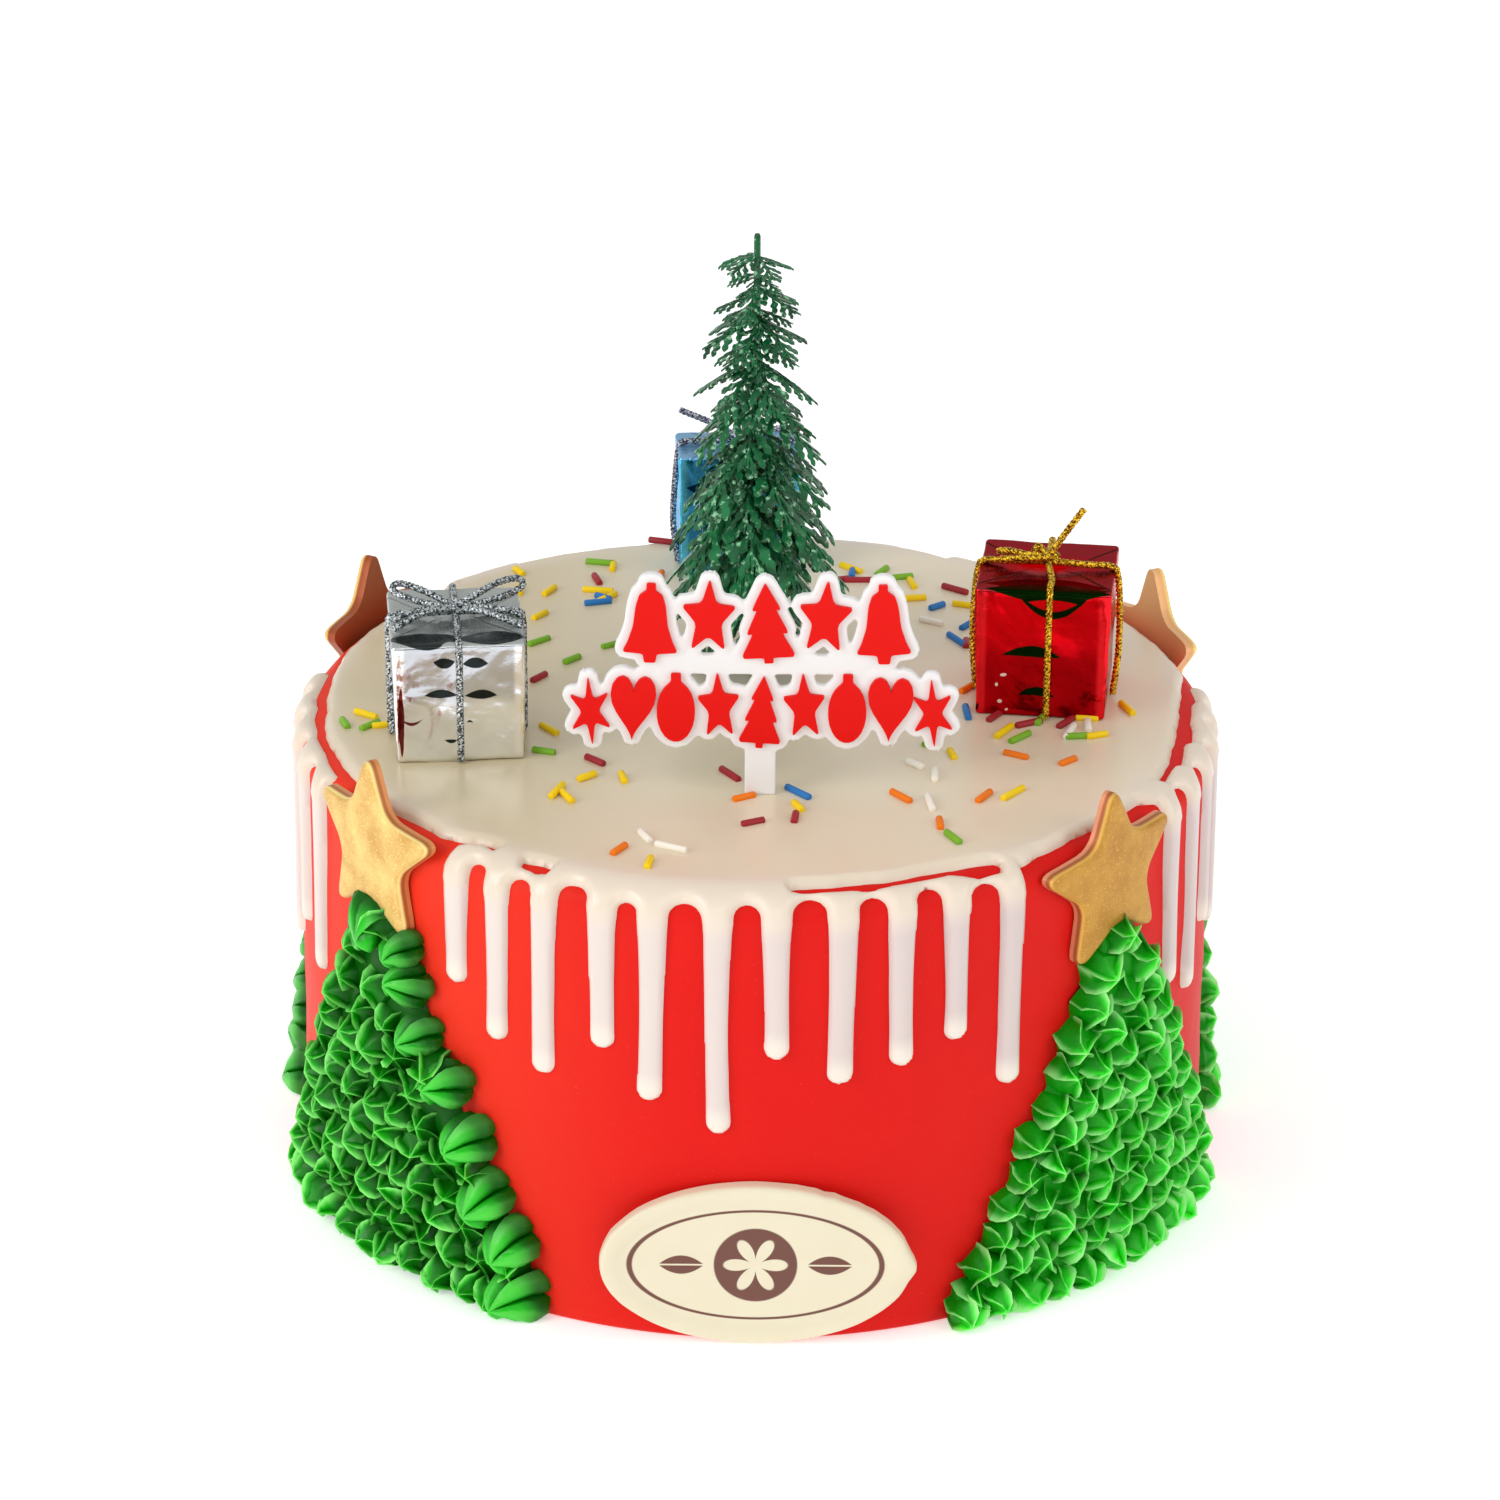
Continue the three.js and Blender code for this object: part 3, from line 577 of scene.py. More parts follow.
def softMost(first, second, reach):  # the larger of two distances, with a fillet where they meet
    blendShare = np.maximum(reach - np.abs(first - second), 0) / reach
    return np.maximum(first, second) + blendShare * blendShare * reach / 4


def softLeast(first, second, reach):
    return -softMost(-first, -second, reach)


sheetEdgeAt = roundTable(sheetEdge)
runTopAt = roundTable(runTop)
footPath = flatRadius + rimPath + sideHeight
around = 2 * math.pi * cake["topRadius"]


def dripSway(i, path):
    down = np.clip((path - glaze["swayFrom"]) / 50, 0, 1)
    return glaze["sway"] * np.sin(i * 2.3 + down * 3.1) * down


def aside(across, azimuth, sway=0):  # how far round the side from an azimuth, in millimetres either way
    centre = math.radians(azimuth) * cake["topRadius"] + sway
    return np.mod(across - centre + around / 2, around) - around / 2


def glazeInside(across, path):  # distance into the glaze from its edge, negative outside
    turn = across / cake["topRadius"]
    azimuth = np.degrees(turn)
    half, dripFrom, outside = glaze["dripHalf"], glaze["dripFrom"], glaze["outside"]
    runs = np.full(across.shape, float(outside))
    for i, (middle, tipHeight) in enumerate(drips):
        tip = footPath - tipHeight
        side = aside(across, middle, dripSway(i, path))
        down = np.clip((path - dripFrom) / (tip - dripFrom), 0, 1)
        width = half * (1.14 - 0.22 * np.sin(down * math.pi * 0.75) + 0.05 * math.sin(i * 1.7))
        end = half * 1.03
        past = np.maximum(path - (tip - end), 0)
        run = np.where(path > glaze["runFrom"], width - np.hypot(side, past * width / end), outside)
        runs = np.maximum(runs, run)
        # the arch between this drip and the next
        spacing = (drips[(i + 1) % len(drips)][0] - middle) % 360
        if spacing > glaze["widestArch"]:
            continue
        archAt = middle + spacing / 2
        nearest = min(archPaths, key=lambda known: abs(known - archAt))
        top = archPaths[nearest] if abs(nearest - archAt) < 3.2 else archDefault + 0.5 * math.sin(i * 2.9)
        halfSpacing = math.radians(spacing) * cake["topRadius"] / 2
        archHalf = halfSpacing - half * 1.12
        archSide = aside(across, archAt)
        clear = np.hypot(archSide, np.maximum(top + archHalf - path, 0)) - archHalf
        below = path - top - archHalf
        drawnBack = 0.8 * np.clip(below / 5, 0, 1) ** 2
        band = softLeast(clear - drawnBack, 6 - below, 1.0)
        runs = np.where(np.abs(archSide) < halfSpacing + 0.4, softMost(runs, band, 0.6), runs)
    runs = softLeast(runs, path - runTopAt(azimuth), 1.2)
    sheet = sheetEdgeAt(azimuth) - path + 0.1 * np.sin(turn * 47) + 0.06 * np.sin(turn * 112 + 2)
    return softMost(runs, sheet, 0.7)


def dripEnd(across, path):  # 1 at the round end of a drip, 0 well above it
    ends = np.zeros(across.shape)
    for middle, tipHeight in drips:
        near = np.clip(1 - (footPath - tipHeight - path) / glaze["palerEnd"], 0, 1)
        ends = np.where(np.abs(aside(across, middle)) < glaze["dripHalf"] * 1.5, np.maximum(ends, near), ends)
    return ends


def glazeFinish():
    finish = Finish("poured glaze", roughness=0.28, specular=0.5, coat=0.14, coatRoughness=0.22,
                    subsurface=0.12, subsurfaceScale=0.003, subsurfaceRadius=(1.0, 0.85, 0.6))
    height = finish.axis("Z")
    x, y = finish.axis("X"), finish.axis("Y")
    rim = finish.step(finish.hypot(x, y), 92, 103)
    low = finish.step(height, 104, 96)
    patches = finish.grain(34, 2, 0.5)
    top = finish.blend(patches, paint(226, 211, 182), paint(232, 219, 193))
    # Painted dark reflection: the top is darker towards the left
    top = finish.blend(finish.step(x, -12, -62), top, paint(210, 194, 158))
    # Whiter towards the rim: partly the thinner glaze, partly painted light
    edge = finish.blend(rim * 0.8, top, paint(228, 213, 197))
    # Painted shade: the drips are darker towards the right and lighter on the left, where the light falls
    body = finish.blend(finish.step(x, -60, 70), paint(222, 209, 201), paint(210, 194, 190))
    drip = finish.blend(finish.step(finish.attribute("end"), 0.1, 0.7), body, paint(232, 222, 209))
    finish.feed("Base Color", finish.blend(low, edge, drip))
    finish.feed("Roughness", 0.26 + finish.grain(18, 2, 0.5) * 0.12)
    finish.grainy(16, 2, 0.45, 0.25, 1.2)
    return finish.material


def readPlaces(mesh):
    places = np.empty(len(mesh.vertices) * 3)
    mesh.vertices.foreach_get("co", places)
    return places.reshape(-1, 3)


def makeGlaze():
    radius = cake["topRadius"]
    # The rows lie close together where the slits and the round ends are
    rowPaths, last = [glaze["innerPath"]], glaze["innerPath"]
    for end, gapBetween in glaze["rows"]:
        count = round((end - last) / gapBetween)
        rowPaths += [last + (end - last) * (i + 1) / count for i in range(count)]
        last = end
    clearSelection()
    bpy.ops.mesh.primitive_grid_add(x_subdivisions=glaze["columns"], y_subdivisions=len(rowPaths) - 1, size=2)
    sheet = bpy.context.active_object
    mesh = sheet.data
    flat = readPlaces(mesh)
    across = flat[:, 0] * math.pi * radius
    path = np.interp((flat[:, 1] + 1) / 2, np.linspace(0, 1, len(rowPaths)), rowPaths)
    inside = glazeInside(across, path)
    # A square of the grid stays where any of its corners is well in the glaze
    corners = np.empty(len(mesh.polygons) * 4, int)
    mesh.polygons.foreach_get("vertices", corners)
    corners = corners.reshape(-1, 4)
    kept = (inside[corners] > glaze["snap"]).any(axis=1)
    keptVertex = np.zeros(len(inside), bool)
    keptVertex[corners[kept].ravel()] = True
    # Its other corners slide to the edge
    shift = keptVertex & (inside < glaze["snap"])
    reach, longest = 0.05, 0.8
    for _ in range(3):
        a, p = across[shift], path[shift]
        value = glazeInside(a, p)
        slopeAcross = (glazeInside(a + reach, p) - glazeInside(a - reach, p)) / (2 * reach)
        slopePath = (glazeInside(a, p + reach) - glazeInside(a, p - reach)) / (2 * reach)
        size = np.maximum(slopeAcross ** 2 + slopePath ** 2, 0.2)
        across[shift] = a - np.clip(value * slopeAcross / size, -longest, longest)
        path[shift] = p - np.clip(value * slopePath / size, -longest, longest)
    inside[shift] = 0
    flat[:, 0], flat[:, 1], flat[:, 2] = across, path, inside
    mesh.vertices.foreach_set("co", flat.ravel())
    startEdit(sheet)
    pick("FACE", lambda centre, normal: False)
    endEdit()
    mesh.polygons.foreach_set("select", ~kept)
    startEdit()
    bpy.ops.mesh.delete(type="FACE")
    endEdit()
    # A copy turned over makes the underside, and the two share the edge
    flat = readPlaces(mesh)
    mesh.attributes.new("end", "FLOAT", "POINT").data.foreach_set("value", dripEnd(flat[:, 0], flat[:, 1]))
    startEdit(sheet)
    selectAll()
    bpy.ops.mesh.duplicate()
    bpy.ops.mesh.flip_normals()
    endEdit()
    across, path, inside = flat[:, 0], flat[:, 1], np.maximum(flat[:, 2], 0)
    onDrip = np.clip((path - glaze["dripFrom"] + 1) / 6, 0, 1)
    thick = glazeThick + (glaze["dripThick"] - glazeThick) * onDrip
    roundReach = glaze["edgeRound"] * (1 - onDrip) + glaze["dripHalf"] * onDrip
    share = 1 - np.minimum(inside / roundReach, 1)
    bead = np.sqrt(1 - share * share)
    height = thick * (bead * onDrip + np.sin((1 - share) * math.pi / 2) ** 0.9 * (1 - onDrip))
    azimuth = across / radius
    swell = 0.13 * np.sin(azimuth * 6 + path / 11) + 0.1 * np.sin(azimuth * 14 - path / 17)
    height = height * (1 + swell * np.minimum(inside / 4, 1) * 0.35)
    base = np.where(inside > 0, gap, gap - glaze["sink"] * 2)
    base = np.where(onDrip > 0.5, np.where(inside > 0, glaze["dripSunk"], -glaze["sink"]), base)
    top = np.stack(onIcing(azimuth, path, base + height), 1)
    under = np.stack(onIcing(azimuth, path, np.where(inside > 0, -glaze["sink"] - 0.1, base)), 1)
    mesh.vertices.foreach_set("co", np.concatenate([top, under]).ravel())
    startEdit(sheet)
    selectAll()
    bpy.ops.mesh.remove_doubles(threshold=0.01)
    # The middle of the top and of the underside closes over plain rings
    for level, rings in ((cake["height"] + gap, glaze["closeTop"]),
                         (cake["height"] - glaze["sink"] - 0.4, glaze["closeUnder"])):
        upper = level > cake["height"]

        def onHole(place):
            atEdge = math.hypot(place.x, place.y) < glaze["innerPath"] + 0.2
            return atEdge and (place.z > cake["height"] + 0.5) == upper

        pick("EDGE", lambda a, b: onHole(a) and onHole(b))
        last = glaze["innerPath"]
        for size in rings:
            bpy.ops.mesh.extrude_edges_move()
            bpy.ops.transform.resize(value=(size / last, size / last, 1), center_override=(0, 0, level))
            last = size
        bpy.ops.mesh.merge(type="CENTER")
    faceOutwards()
    endEdit()
    finishPiece(sheet, "glaze_sheet", glazeFinish(), ["glaze"], smooth=80)


makeGlaze()

# Sugar strands, where the photograph shows them, by the pixel of each strand's middle
strand = {"width": 1.65, "sides": 10, "round": 0.28, "sunk": 0.42, "shortest": 4.6, "longest": 7.8,
          "colours": {
              "yellow": (248, 210, 6), "green": (122, 178, 40), "blue": (40, 116, 186),
              "maroon": (160, 36, 44), "orange": (242, 122, 4), "white": (246, 240, 226),
          },
          "pixels": {
              "yellow": [(519, 571), (540, 615), (549, 729), (567, 796), (587, 776), (623, 777), (598, 590),
                         (613, 566), (649, 862), (798, 806), (851, 568), (912, 583), (911, 598), (966, 605),
                         (952, 754), (1004, 731), (1013, 793), (1087, 718), (1097, 735), (1127, 708), (366, 714),
                         (383, 725), (557, 790)],
              "green": [(539, 641), (572, 659), (544, 751), (345, 723), (370, 725), (758, 790), (900, 577),
                        (932, 743), (953, 837), (1041, 719), (1020, 737), (1077, 736)],
              "blue": [(598, 602), (603, 597), (798, 792), (852, 573), (937, 606), (967, 625), (967, 712)],
              "maroon": [(597, 579), (595, 760), (730, 774), (753, 822), (795, 817), (860, 580), (955, 589),
                         (966, 643), (996, 715), (1029, 723), (1066, 722), (662, 541), (661, 626), (539, 677)],
              "orange": [(660, 577), (744, 797), (619, 849), (901, 796), (940, 823), (984, 796), (967, 688),
                         (1016, 755), (1068, 761)],
              "white": [(645, 836), (671, 847), (915, 764), (935, 774), (930, 802), (1070, 731), (1088, 725)],
          }}
# Behind the sign and the fir nothing shows, so a few more lie there by rule: middle, reach and count of each patch
hiddenPatches = [(-40, 62, 22, 5), (36, 50, 30, 6), (-20, 20, 16, 4), (24, 22, 12, 3)]


def strandFinish(name, colour):
    finish = Finish("strand " + name, colour=paint(*colour), roughness=0.46, specular=0.3)
    finish.grainy(0.5, 2, 0.6, 0.4, 0.1)
    return finish.material


def makeStrands():
    clearSelection()
    half = strand["width"] / 2
    bpy.ops.mesh.primitive_cylinder_add(vertices=strand["sides"], radius=half, depth=1, rotation=(0, math.pi / 2, 0))
    bpy.ops.object.transform_apply(rotation=True)
    rod = bpy.context.active_object
    startEdit(rod)
    pick("EDGE", lambda a, b: abs(a.x - b.x) < 1e-4)
    bpy.ops.mesh.bevel(offset=strand["round"], segments=2, affect="EDGES")
    endEdit()
    draw = series(5)
    spots = {name: [] for name in strand["colours"]}
    for name, pixels in strand["pixels"].items():
        for pixel in pixels:
            place = onLevel(pixel, glazeTop + half * 0.6)
            spots[name].append((place.x, place.y))
    names = list(spots)
    for x, y, reach, count in hiddenPatches:
        for _ in range(count):
            turn, away = between(draw, 0, 2 * math.pi), reach * math.sqrt(next(draw))
            spots[names[int(next(draw) * 5.99)]].append((x + away * math.cos(turn), y + away * math.sin(turn)))
    for name, places in spots.items():
        copies = []
        for x, y in places:
            length = between(draw, strand["shortest"], strand["longest"])
            turn = between(draw, 0, math.pi)
            lie = Matrix.Translation((x, y, glazeTop + half * (1 - strand["sunk"])))
            # Only the rod's middle stretches, so the round ends keep their shape
            copy = twin(rod, Matrix.Identity(4))
            reshape(copy, lambda place: Vector((place.x + math.copysign((length - 1) / 2, place.x), place.y, place.z)))
            copy.matrix_world = lie @ Matrix.Rotation(turn, 4, "Z")
            copies.append(copy)
        whole = weld("strands_" + name, copies)
        finishPiece(whole, "strands_" + name, strandFinish(name, strand["colours"][name]))
    discard(rod)


makeStrands()

# Piped trees: star-nozzle drops on a triangular lattice, one fewer in each row up
tree = {"width": 95, "height": 87, "topWidth": 14, "foot": 0.6, "pitch": 7.3, "peak": 7.1, "tall": (0.86, 1.1),
        "jitter": 0.7, "bigPeak": 1.22, "dropRadius": 4.5, "dropSize": (0.94, 1.16), "dropTall": (0.85, 1.1),
        "padThick": 2.8, "padSquares": (40, 30),
        "lowRow": {"below": 9, "tip": 0.6, "out": 2.2, "down": 3.2},
        "shell": {"size": 6.3, "shrink": 0.021, "spread": 0.25, "clear": 6.2},
        "places": [
            {"name": "piped_tree_1", "azimuth": -50.1, "lean": 0.8, "seed": 21, "bigEdge": True, "cream": "shaded"},
            {"name": "piped_tree_2", "azimuth": 49.4, "lean": -2.6, "seed": 22, "bigEdge": False, "cream": "bright"},
            {"name": "piped_tree_3", "azimuth": 116, "lean": 0, "seed": 23, "bigEdge": False, "cream": "bright"},
            {"name": "piped_tree_4", "azimuth": -119, "lean": 0, "seed": 24, "bigEdge": True, "cream": "shaded"},
        ],
        # Middles of the large shells down the right edge of the front left tree, in the photograph
        "shellPixels": [(392, 953), (400, 992), (412, 1040), (441, 1089), (463, 1144), (480, 1200), (506, 1247),
                        (516, 1299)],
        "capPixel": (351, 920), "capSize": (7.2, 6.3, 6.8), "strayPixel": (975, 1303), "straySize": (5.4, 5.8, 4.6),
        # One buttercream in two copies, painted darker (shaded) and lighter (bright) for how the light falls on each
        # tree. Each list runs from two painted-shade greens through two body greens to a painted-highlight colour
        "creams": {"shaded": [(0, 72, 0), (0, 98, 0), (1, 170, 1), (18, 200, 10), (144, 255, 122)],
                   "bright": [(1, 126, 1), (4, 152, 4), (36, 242, 28), (64, 255, 54), (176, 255, 158)]}}
skirt = tree["pitch"] * 0.55
footPeaks = round(tree["width"] / tree["pitch"])
topPeaks = round(tree["topWidth"] / tree["pitch"])
peakRows = footPeaks - topPeaks + 1


def leanAt(place, height):
    return place["lean"] * height / tree["height"]


def latticePeaks(place):
    draw = series(place["seed"])
    peaks = []
    rise = (tree["height"] - tree["foot"] - 2 * skirt) / (peakRows - 1)
    for row in range(-1, peakRows + 1):
        outer = row < 0 or row == peakRows
        level = min(max(row, 0), peakRows - 1)
        half = tree["width"] / 2 - skirt + (tree["topWidth"] - tree["width"]) / 2 * (level / (peakRows - 1))
        height = tree["foot"] + skirt + rise * level
        count = footPeaks + 1 - row
        middle = (count - 1) / 2
        for i in range(count):
            foot = outer or i == 0 or i == count - 1
            across = (i - middle) / middle * (half + skirt) if foot else (i - middle) / (middle - 1 or 1) * half
            big = place["bigEdge"] and i == count - 2
            tall = tree["bigPeak"] if big else between(draw, *tree["tall"])
            jitter = 0 if foot else tree["jitter"]
            stray = (between(draw, -jitter, jitter), between(draw, -jitter, jitter))
            if not foot:
                across += stray[0] + leanAt(place, height)
                peaks.append({"across": across, "height": height + stray[1], "tall": tall, "big": big})
    return peaks


def treeHalf(height):  # half the tree's width at a height
    share = limit((height - tree["foot"]) / (tree["height"] - tree["foot"]))
    return tree["width"] / 2 + (tree["topWidth"] - tree["width"]) / 2 * share


def pipedForm(arms, columns, rings, ridgeHighlight=1.0, wind=0.0, lean=(0, 0)):
    # A squeeze of the nozzle. columns run from one ridge to the next: the share of the way, and 1 on the ridge
    # down to 0 in the groove. A ring has a radius, a height and the depth of its grooves
    count = arms * len(columns)
    form = ringStack(count, [(radius, height) for radius, height, _ in rings])
    # The ridge attribute sets the painted highlight on the ridges and the painted shade in the grooves
    ridges = form.data.attributes.new("ridge", "FLOAT", "POINT")
    for vertex, mark in zip(form.data.vertices, ridges.data):
        away = math.hypot(vertex.co.x, vertex.co.y)
        height = vertex.co.z
        mark.value = ridgeHighlight
        if away > 1e-4:
            index = round(math.atan2(vertex.co.y, vertex.co.x) / (2 * math.pi) * count) % count
            share, kept = columns[index % len(columns)]
            groove = min(rings, key=lambda ring: abs(ring[1] - height))[2]
            away *= 1 - (1 - kept) * groove
            turn = 2 * math.pi * (index // len(columns) + share) / arms + wind * max(height, 0)
            mark.value = kept * ridgeHighlight
            vertex.co.x, vertex.co.y = away * math.cos(turn), away * math.sin(turn)
        bent = max(height, 0) ** 1.5
        vertex.co.x += lean[0] * bent
        vertex.co.y += lean[1] * bent
    return form


# Thin blades with hollows between them, for the small drops
dropForm = {"columns": [(0, 1), (0.14, 0.2), (0.86, 0.2)],
            "rings": [(1.0, -0.85, 0.1), (1.17, 0.0, 0.4), (1.0, 0.33, 0.82), (0.64, 0.66, 0.95), (0.2, 0.92, 0.8)]}
dropKinds = [{"arms": 5, "wind": 0.7}, {"arms": 5, "wind": -0.6}, {"arms": 6, "wind": 0.3}]
# Full lobes with sharp creases, for the large ones
shellForm = {"arms": 4, "columns": [(0, 0), (0.06, 0.42), (0.18, 0.84), (0.4, 1), (0.68, 0.96), (0.9, 0.56)],
             "rings": [(0.9, -0.4, 0.15), (1.08, -0.15, 0.34), (1.17, 0.08, 0.5), (1.15, 0.28, 0.62),
                       (1.06, 0.47, 0.74), (0.88, 0.65, 0.82), (0.6, 0.8, 0.84), (0.3, 0.92, 0.66), (0.08, 1.0, 0.2)]}
capForm = {"arms": 4, "columns": [(0, 1), (0.16, 0.9), (0.36, 0.75), (0.6, 0.5), (0.78, 0.15), (0.87, 0)],
           "rings": [(0.9, -0.3, 0.12), (1.05, 0, 0.22), (1.06, 0.25, 0.28), (0.98, 0.48, 0.34), (0.8, 0.7, 0.38),
                     (0.52, 0.86, 0.38), (0.28, 0.95, 0.3), (0.1, 1.0, 0.1)]}


def creamFinish(cream):
    finish = Finish("piped buttercream", roughness=0.42, specular=0.2, coatRoughness=0.24)
    proud = finish.step(finish.hypot(finish.axis("X"), finish.axis("Y")), 109.3, 113.2)
    ridge = finish.attribute("ridge")
    patches = finish.grain(9, 3, 0.55)
    colours = [paint(*colour) for colour in tree["creams"][cream]]
    deep = finish.blend(patches, *colours[:2])
    body = finish.blend(patches, *colours[2:4])
    # Painted shade: the hollows and the parts near the cake take the dark greens. Painted highlight: the ridges take
    # the palest colour
    full = finish.blend(proud * (0.25 + 0.75 * finish.step(ridge, 0.02, 0.55)), deep, body)
    light = finish.step(ridge, 0.45, 1.0) * (0.5 + 0.5 * proud)
    finish.feed("Coat Weight", proud * 0.3)
    finish.feed("Base Color", finish.blend(light, full, colours[4]))
    finish.grainy(0.9, 3, 0.6, 0.35, 0.25)
    return finish.material


def azimuthAt(place, across):
    return math.radians(place["azimuth"]) + across / cake["footRadius"]


def makePad(place):  # the layer under the drops, from the foot of the cake up to the star
    clearSelection()
    columns, rows = tree["padSquares"]
    bpy.ops.mesh.primitive_grid_add(x_subdivisions=columns, y_subdivisions=rows, size=2)
    pad = bpy.context.active_object
    base = cake["footRadius"] - 1.2

    def wrap(spot):
        height = 0.15 + (spot.y + 1) / 2 * (tree["height"] - 2)
        across = spot.x * (treeHalf(height) - 3) + leanAt(place, height)
        edge = min(1, (1 - abs(spot.x)) * 6, (1 - spot.y) * 8, (1 + spot.y) * 20)
        azimuth = azimuthAt(place, across)
        radius = base + tree["padThick"] * math.sqrt(max(edge, 0)) + 0.9
        return Vector((radius * math.sin(azimuth), -radius * math.cos(azimuth), height))

    reshape(pad, wrap)
    return modify(pad, "SOLIDIFY", thickness=2.2, offset=-1)


def inStar(peak, place, star):  # whether a drop lies behind the star, which covers it
    across = peak["across"] + math.radians(place["azimuth"] - star["azimuth"]) * cake["footRadius"]
    rise = peak["height"] - (stars["middle"] + star["lift"])
    turn = math.atan2(across, rise) + math.radians(star["tilt"])
    away = math.hypot(across, rise)
    fifth = 2 * math.pi / 5
    fold = abs((turn + fifth / 2) % fifth - fifth / 2)
    outer, inner = stars["radius"] - stars["overlap"], stars["radius"] * stars["waist"] - stars["overlap"]
    # Distance along the ray to the star's side, by the line from the tip to the waist
    tip, waist = Vector((outer, 0)), Vector((inner * math.cos(fifth / 2), inner * math.sin(fifth / 2)))
    side = waist - tip
    edge = (tip.x * side.y - tip.y * side.x) / (math.cos(fold) * side.y - math.sin(fold) * side.x)
    return away < edge


stars = {"radius": 23.2, "waist": 0.465, "thick": 3.3, "middle": 102, "inner": 105.65, "overlap": 0.2, "bevel": 1.3,
         "tipRound": 4.9, "waistRound": 3.2, "cut": 2.05, "cuts": 10,
         # The same gold fondant on every star, painted lighter or darker per star for how the light falls on it
         "places": [
             {"name": "star_1", "azimuth": -51.3, "tilt": -1, "lift": -1.3, "golds": [(206, 156, 78), (242, 206, 124)],
              "sides": [(214, 142, 84), (176, 104, 52)]},
             {"name": "star_2", "azimuth": 46.7, "tilt": 5, "lift": -4, "golds": [(180, 124, 44), (204, 154, 62)],
              "sides": [(222, 144, 106), (164, 92, 50)]},
             {"name": "star_3", "azimuth": 116, "tilt": -4, "lift": -1, "golds": [(236, 184, 96), (246, 204, 116)],
              "sides": [(240, 186, 128), (236, 176, 118)]},
             {"name": "star_4", "azimuth": -119, "tilt": 3, "lift": -1, "golds": [(210, 158, 76), (230, 184, 96)],
              "sides": [(164, 82, 42), (156, 74, 36)]},
         ]}


def makeTrees():
    drops = [pipedForm(**dropForm, **kind) for kind in dropKinds]
    shell = pipedForm(**shellForm, ridgeHighlight=0.62, wind=0.5, lean=(-0.8, -0.42))
    cap = pipedForm(**capForm, ridgeHighlight=0.6, wind=0.9, lean=(0.45, -0.75))
    finishes = {cream: creamFinish(cream) for cream in tree["creams"]}
    base = cake["footRadius"] + gap
    proud = tree["padThick"] - 0.4
    low, large = tree["lowRow"], tree["shell"]
    for place, star in zip(tree["places"], stars["places"]):
        draw = series(place["seed"] + 100)
        pieces = [makePad(place)]
        shells = []
        front = place["name"] == "piped_tree_1"
        if front:
            for pixel in tree["shellPixels"]:
                azimuth, height = onSide(pixel, base + 5)
                shells.append(((azimuth - azimuthAt(place, 0)) * cake["footRadius"], height))
        for peak in latticePeaks(place):
            if inStar(peak, place, star):
                continue
            if peak["big"] and not front:
                shells.append((peak["across"] + 0.6, peak["height"]))
                continue
            if front and any(math.hypot(peak["across"] - across - 1.5, peak["height"] - height) < large["clear"]
                             for across, height in shells):
                continue
            across = peak["across"] + between(draw, -0.6, 0.6)
            height = peak["height"] + between(draw, -0.6, 0.6)
            border = peak["across"] / treeHalf(peak["height"])
            outwards = 0.22 * border ** 5
            lowness = max(0, 1 - peak["height"] / low["below"])
            out = base + proud - abs(outwards) * 2 + low["out"] * lowness
            wall = onWall(azimuthAt(place, across), out, height - low["down"] * lowness)
            size = tree["dropRadius"] * between(draw, *tree["dropSize"])
            tip = 0.3 - 0.18 * abs(border) ** 3
            lean = (Matrix.Rotation(low["tip"] * lowness + between(draw, -tip, tip), 4, "X")
                    @ Matrix.Rotation(outwards + between(draw, -tip, tip), 4, "Y")
                    @ Matrix.Rotation(between(draw, 0, 2 * math.pi), 4, "Z"))
            tall = (tree["peak"] - proud) * peak["tall"] * between(draw, *tree["dropTall"])
            drop = drops[int(between(draw, 0, len(drops)))]
            pieces.append(twin(drop, wall @ lean @ Matrix.Diagonal((size, size, tall, 1))))
        for across, height in shells:
            wall = onWall(azimuthAt(place, across), base + 0.6, height, between(draw, -0.6, 0.6))
            size = large["size"] - height * large["shrink"] + between(draw, -large["spread"], large["spread"])
            pieces.append(twin(shell, wall @ Matrix.Diagonal((size * 0.92, size, size * 1.25, 1))))
        if front:
            azimuth, height = onSide(tree["capPixel"], base + 6)
            wall = onWall(azimuth, base + 0.5, height, 0.15)
            pieces.append(twin(cap, wall @ Matrix.Diagonal((*tree["capSize"], 1))))
        if place["name"] == "piped_tree_2":
            azimuth, height = onSide(tree["strayPixel"], base + 3)
            wall = onWall(azimuth, base + 1.6, height, 0.3)
            pieces.append(twin(drops[2], wall @ Matrix.Diagonal((*tree["straySize"], 1))))
        whole = weld(place["name"], pieces)

        def waver(spot):
            moved = spot + 0.6 * waverVector(spot / 6) + 0.28 * waverVector(spot / 2.4)
            return Vector((moved.x, moved.y, max(moved.z, 0.05)))

        reshape(whole, waver)
        name = place["name"]
        finishPiece(whole, name + "_piping", finishes[place["cream"]], [name], smooth=50)
    discard(*drops, shell, cap)


makeTrees()


